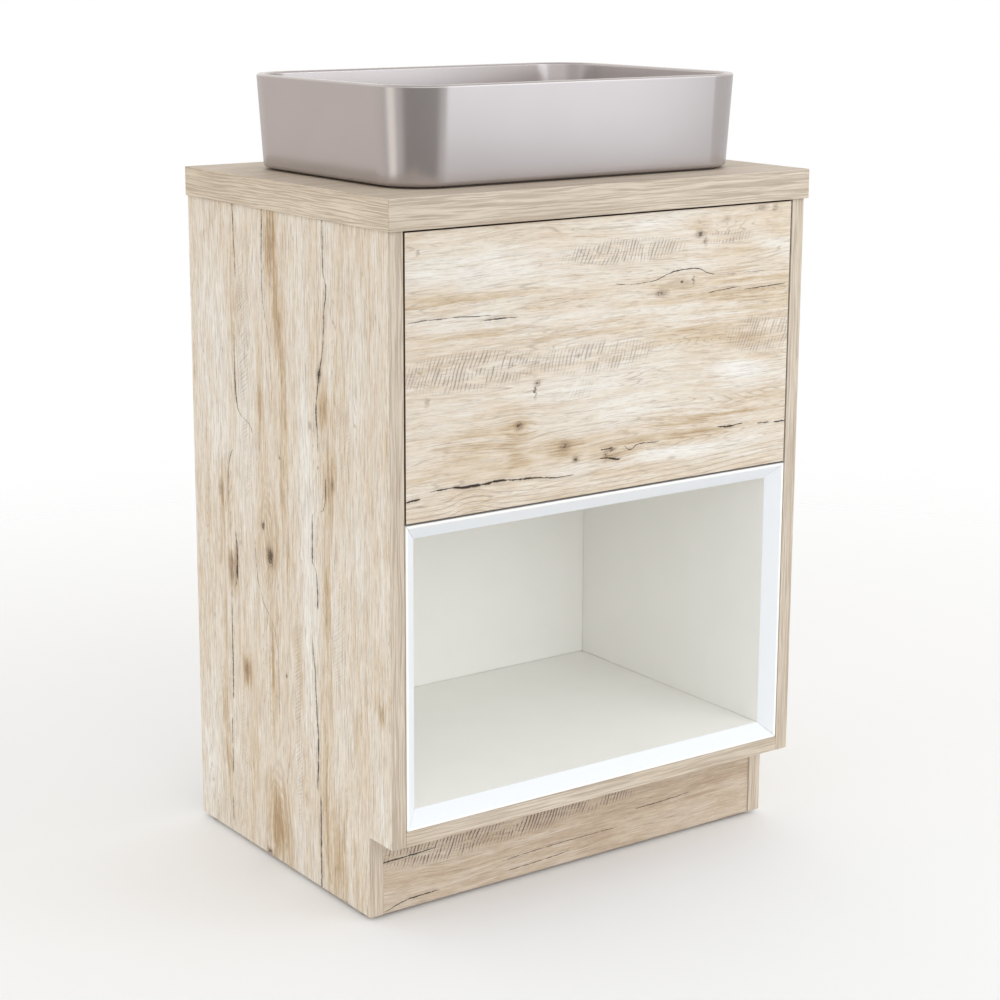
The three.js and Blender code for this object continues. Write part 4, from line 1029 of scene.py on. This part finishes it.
def make_trap():
    """The bottle trap: pipes, body, cup and slip nuts. Its outlet runs back along Y."""
    outlet_low, outlet_high = box_of("trap_outlet_pipe")
    outlet_height = (outlet_low.z + outlet_high.z) / 2
    pipe = half_width("trap_outlet_pipe")
    bore = pipe + FIT
    neck = pipe + NECK_WALL

    low, high = box_of("trap_inlet_pipe")
    outline = sleeve(pipe - PIPE_WALL, pipe, low.z, high.z, 0.5)
    stand_in("inlet_pipe", "trap_inlet_pipe", *turned(outline))
    outline = sleeve(pipe - PIPE_WALL, pipe, outlet_low.y, outlet_high.y, 0.5)
    stand_in("outlet_pipe", "trap_outlet_pipe", *turned(outline, height=outlet_height))

    low, high = box_of("trap_body")
    radius = half_width("trap_body")
    inside = radius - TRAP_WALL
    shoulder = high.z - NECK_LENGTH
    body = [(inside, low.z), (radius, low.z), (radius, shoulder), (neck, shoulder), (neck, high.z),
            (bore, high.z), (bore, shoulder - TRAP_WALL), (inside, shoulder - TRAP_WALL)]
    spigot = sleeve(bore, neck, radius - 6, high.y, 0.8)
    collar = [(neck - 1, radius - 3), (neck + 0.9, radius - 3), (neck + 0.4, radius + 0.2),
              (neck - 1, radius + 0.2)]
    shells = (
        turned(eased(body, 2.2)),
        turned(spigot, height=outlet_height),
        turned(eased(collar, 0.3), height=outlet_height),
    )
    stand_in("trap", "trap_body", *joined(*shells))

    make_cup()
    make_slip_nut("tail_nut", "trap_tail_nut", pipe, WASTE_RADIUS + FIT)
    make_slip_nut("neck_nut", "trap_neck_nut", pipe, neck + FIT, up=False)
    make_slip_nut("outlet_nut", "trap_outlet_nut", pipe, neck + FIT, up=False, height=outlet_height)


def make_cup():
    low, high = box_of("trap_cup")
    radius = half_width("trap_cup")
    inside = radius - CUP_WALL
    outline = [(0, low.z), (radius - 16, low.z)]
    outline += arc(radius - CUP_CORNER, low.z + CUP_CORNER, CUP_CORNER, 270, 360, 8)
    outline += [(radius, high.z - 1)] + arc(radius - 1, high.z - 1, 1, 0, 90, 3)
    outline += [(inside, high.z), (inside, low.z + CUP_CORNER), (inside - 6, low.z + CUP_WALL)]
    outline.append((0, low.z + CUP_WALL))
    stand_in("cup", "trap_cup", *turned(outline, 8 * CUP_RIBS, ribbed(radius, CUP_RIBS, 1.2)))


# ------------------------------------------------------------------ feet and latch
GLIDE_EDGE = 1.4


def make_glides():
    for end in ("front", "back"):
        for side in ("left", "right"):
            node = "glide_%s_%s" % (end, side)
            low, high = box_of(node)
            radius = half_width(node)
            outline = [(0, 0), (radius - 1.6, 0)]
            outline += arc(radius - GLIDE_EDGE, GLIDE_EDGE, GLIDE_EDGE, 280, 360)
            outline += [(radius, high.z), (0, high.z)]
            x, y = (low.x + high.x) / 2, (low.y + high.y) / 2
            stand_in("foot_%s_%s" % (end, side), node, *turned(outline, 48, x=x, y=y))


def make_latch_pin():
    """The latch's pin, with a rounded nose towards the drawer front."""
    low, high = box_of("latch_plunger")
    radius = half_width("latch_plunger")
    nose = radius * 0.8
    outline = [(r, y) for y, r in arc(low.y + nose, 0, nose, 180, 90)]
    outline = outline[:1] + [(r + radius - nose, y) for r, y in outline[1:]]
    outline += [(radius, high.y - 0.4), (radius - 0.4, high.y), (0, high.y)]
    stand_in("latch_pin_tip", "latch_plunger", *turned(outline, 48, height=(low.z + high.z) / 2))


make_basin()
make_waste()
make_plug()
make_backnut()
make_trap()
make_glides()
make_latch_pin()


# ------------------------------------------------------------------ floor, light and camera
FLOOR_RADIUS = 3.0
FLOOR_SIDES = 96
FLOOR_FADE = (700, 2400)

# World light. Angles are in degrees: azimuth from the front towards +X, and height above the horizon.
BELOW = 0.76
ZENITH = 0.68
FRONT_FILL = (1.05, 1.05, 1.06)
BACK_FILL = (1.28, 1.26, 1.22)
BACK_FROM = (70, 120)
FILL_HEIGHT = (-2, 16)
ZENITH_HEIGHT = (45, 62)
# Each window: colour, then left, right, low and high edges, and how soft the edges are across and up.
WINDOWS = (
    ((0.17, 0.155, 0.145), (-68, 8, -34, -3, 6, 3)),
    ((1.85, 1.8, 1.72), (-104, -86, -36, 2, 4, 8)),
    ((0.95, 0.88, 0.84), (-176, -118, -36, 2, 8, 8)),
    ((1.8, 1.8, 1.81), (-52, 60, 5, 30, 10, 6)),
)

CARD_SIZE = (0.62, 0.9)
CARD_COLOUR = (0.83, 0.915, 1.0)
CARD_RADIANCE = 1.42
CARD_TURN = math.radians(26.8)
CARD_DISTANCE = 1.1
CARD_HEIGHT = 1.12
CARD_TARGET = (0, 0, 0.95)

CAMERA_PLACE = (-1.56978, -2.19723, 1.08573)
CAMERA_YAW = math.radians(-34.6433)
CAMERA_PITCH = math.radians(12.2599)
CAMERA_LENS = 80.41716
CAMERA_SENSOR = 36.0
CAMERA_SHIFT = (0.03988, -0.06)


def make_floor():
    """A pale disc that fades into the white backdrop."""
    ring = []
    for i in range(FLOOR_SIDES):
        angle = FULL_TURN * i / FLOOR_SIDES
        ring.append((FLOOR_RADIUS * math.cos(angle), FLOOR_RADIUS * math.sin(angle), 0))
    mesh = bpy.data.meshes.new("floor")
    mesh.from_pydata(ring, [], [tuple(range(FLOOR_SIDES))])
    floor = bpy.data.objects.new("floor", mesh)
    bpy.context.scene.collection.objects.link(floor)
    net = new_net("floor_white")
    x, y, _ = net.place()
    away = net.math("SQRT", x * x + y * y)
    shader = net.add("BsdfDiffuse")
    shader.inputs["Color"].default_value = (0.9, 0.9, 0.9, 1)
    clear = net.add("BsdfTransparent")
    mixed = net.add("MixShader")
    net.feed(mixed.inputs[0], net.step(away, *FLOOR_FADE))
    net.links.new(shader.outputs[0], mixed.inputs[1])
    net.links.new(clear.outputs[0], mixed.inputs[2])
    out = net.add("OutputMaterial")
    net.links.new(mixed.outputs[0], out.inputs[0])
    mesh.materials.append(net.owner)


def make_light():
    """A studio painted on the world: soft fill all round, and windows in it. The camera sees it as white."""
    world = bpy.data.worlds.new("studio")
    bpy.context.scene.world = world
    net = Net(world)
    coords = net.add("TexCoord")
    split = net.add("SeparateXYZ")
    net.links.new(coords.outputs["Generated"], split.inputs[0])
    x, y, z = [Field(net, out) for out in split.outputs]
    azimuth = net.math("ARCTAN2", x, y * -1) * math.degrees(1)
    height = net.math("ARCSINE", z) * math.degrees(1)

    def window(left, right, low, high, soft, soft_up):
        across = net.step(azimuth, left - soft, left + soft) * net.step(azimuth, right + soft, right - soft)
        from_low = net.step(height, low - soft_up, low + soft_up)
        to_high = net.step(height, high + soft_up, high - soft_up)
        return across * (from_low * to_high)

    turned_away = net.math("ABSOLUTE", azimuth)
    fill = net.mix((*FRONT_FILL, 1), (*BACK_FILL, 1), net.step(turned_away, *BACK_FROM))
    light = net.mix((BELOW, BELOW, BELOW, 1), fill, net.step(height, *FILL_HEIGHT))
    light = net.mix(light, (ZENITH, ZENITH, ZENITH, 1), net.step(height, *ZENITH_HEIGHT))
    for colour, edges in WINDOWS:
        light = net.mix(light, (*colour, 1), window(*edges))
    rays = net.add("LightPath")
    seen = net.mix(light, (1, 1, 1, 1), Field(net, rays.outputs["Is Camera Ray"]))
    background = net.add("Background")
    net.feed(background.inputs["Color"], seen)
    out = net.add("OutputWorld")
    net.links.new(background.outputs[0], out.inputs[0])


def make_card():
    """A soft box to the right of the front, low enough to show in the basin's front."""
    light = bpy.data.lights.new("card", "AREA")
    light.shape = "RECTANGLE"
    light.size, light.size_y = CARD_SIZE
    light.energy = CARD_RADIANCE * math.pi * light.size * light.size_y
    light.color = CARD_COLOUR
    card = bpy.data.objects.new("card", light)
    bpy.context.scene.collection.objects.link(card)
    side = CARD_DISTANCE * math.sin(CARD_TURN)
    front = CARD_DISTANCE * math.cos(CARD_TURN)
    card.location = (side, -front, CARD_HEIGHT)
    card.rotation_euler = (Vector(CARD_TARGET) - card.location).to_track_quat("-Z", "Y").to_euler()
    card.visible_camera = False


def make_camera():
    data = bpy.data.cameras.new("camera")
    data.sensor_width = CAMERA_SENSOR
    data.lens = CAMERA_LENS
    data.shift_x, data.shift_y = CAMERA_SHIFT
    data.clip_end = 200
    camera = bpy.data.objects.new("camera", data)
    level = math.cos(CAMERA_PITCH)
    forward = Vector((-math.sin(CAMERA_YAW) * level, math.cos(CAMERA_YAW) * level, -math.sin(CAMERA_PITCH)))
    camera.location = CAMERA_PLACE
    camera.rotation_euler = forward.to_track_quat("-Z", "Y").to_euler()
    bpy.context.scene.collection.objects.link(camera)
    bpy.context.scene.camera = camera


make_floor()
make_light()
make_card()
make_camera()
bpy.context.scene.view_settings.view_transform = "Standard"
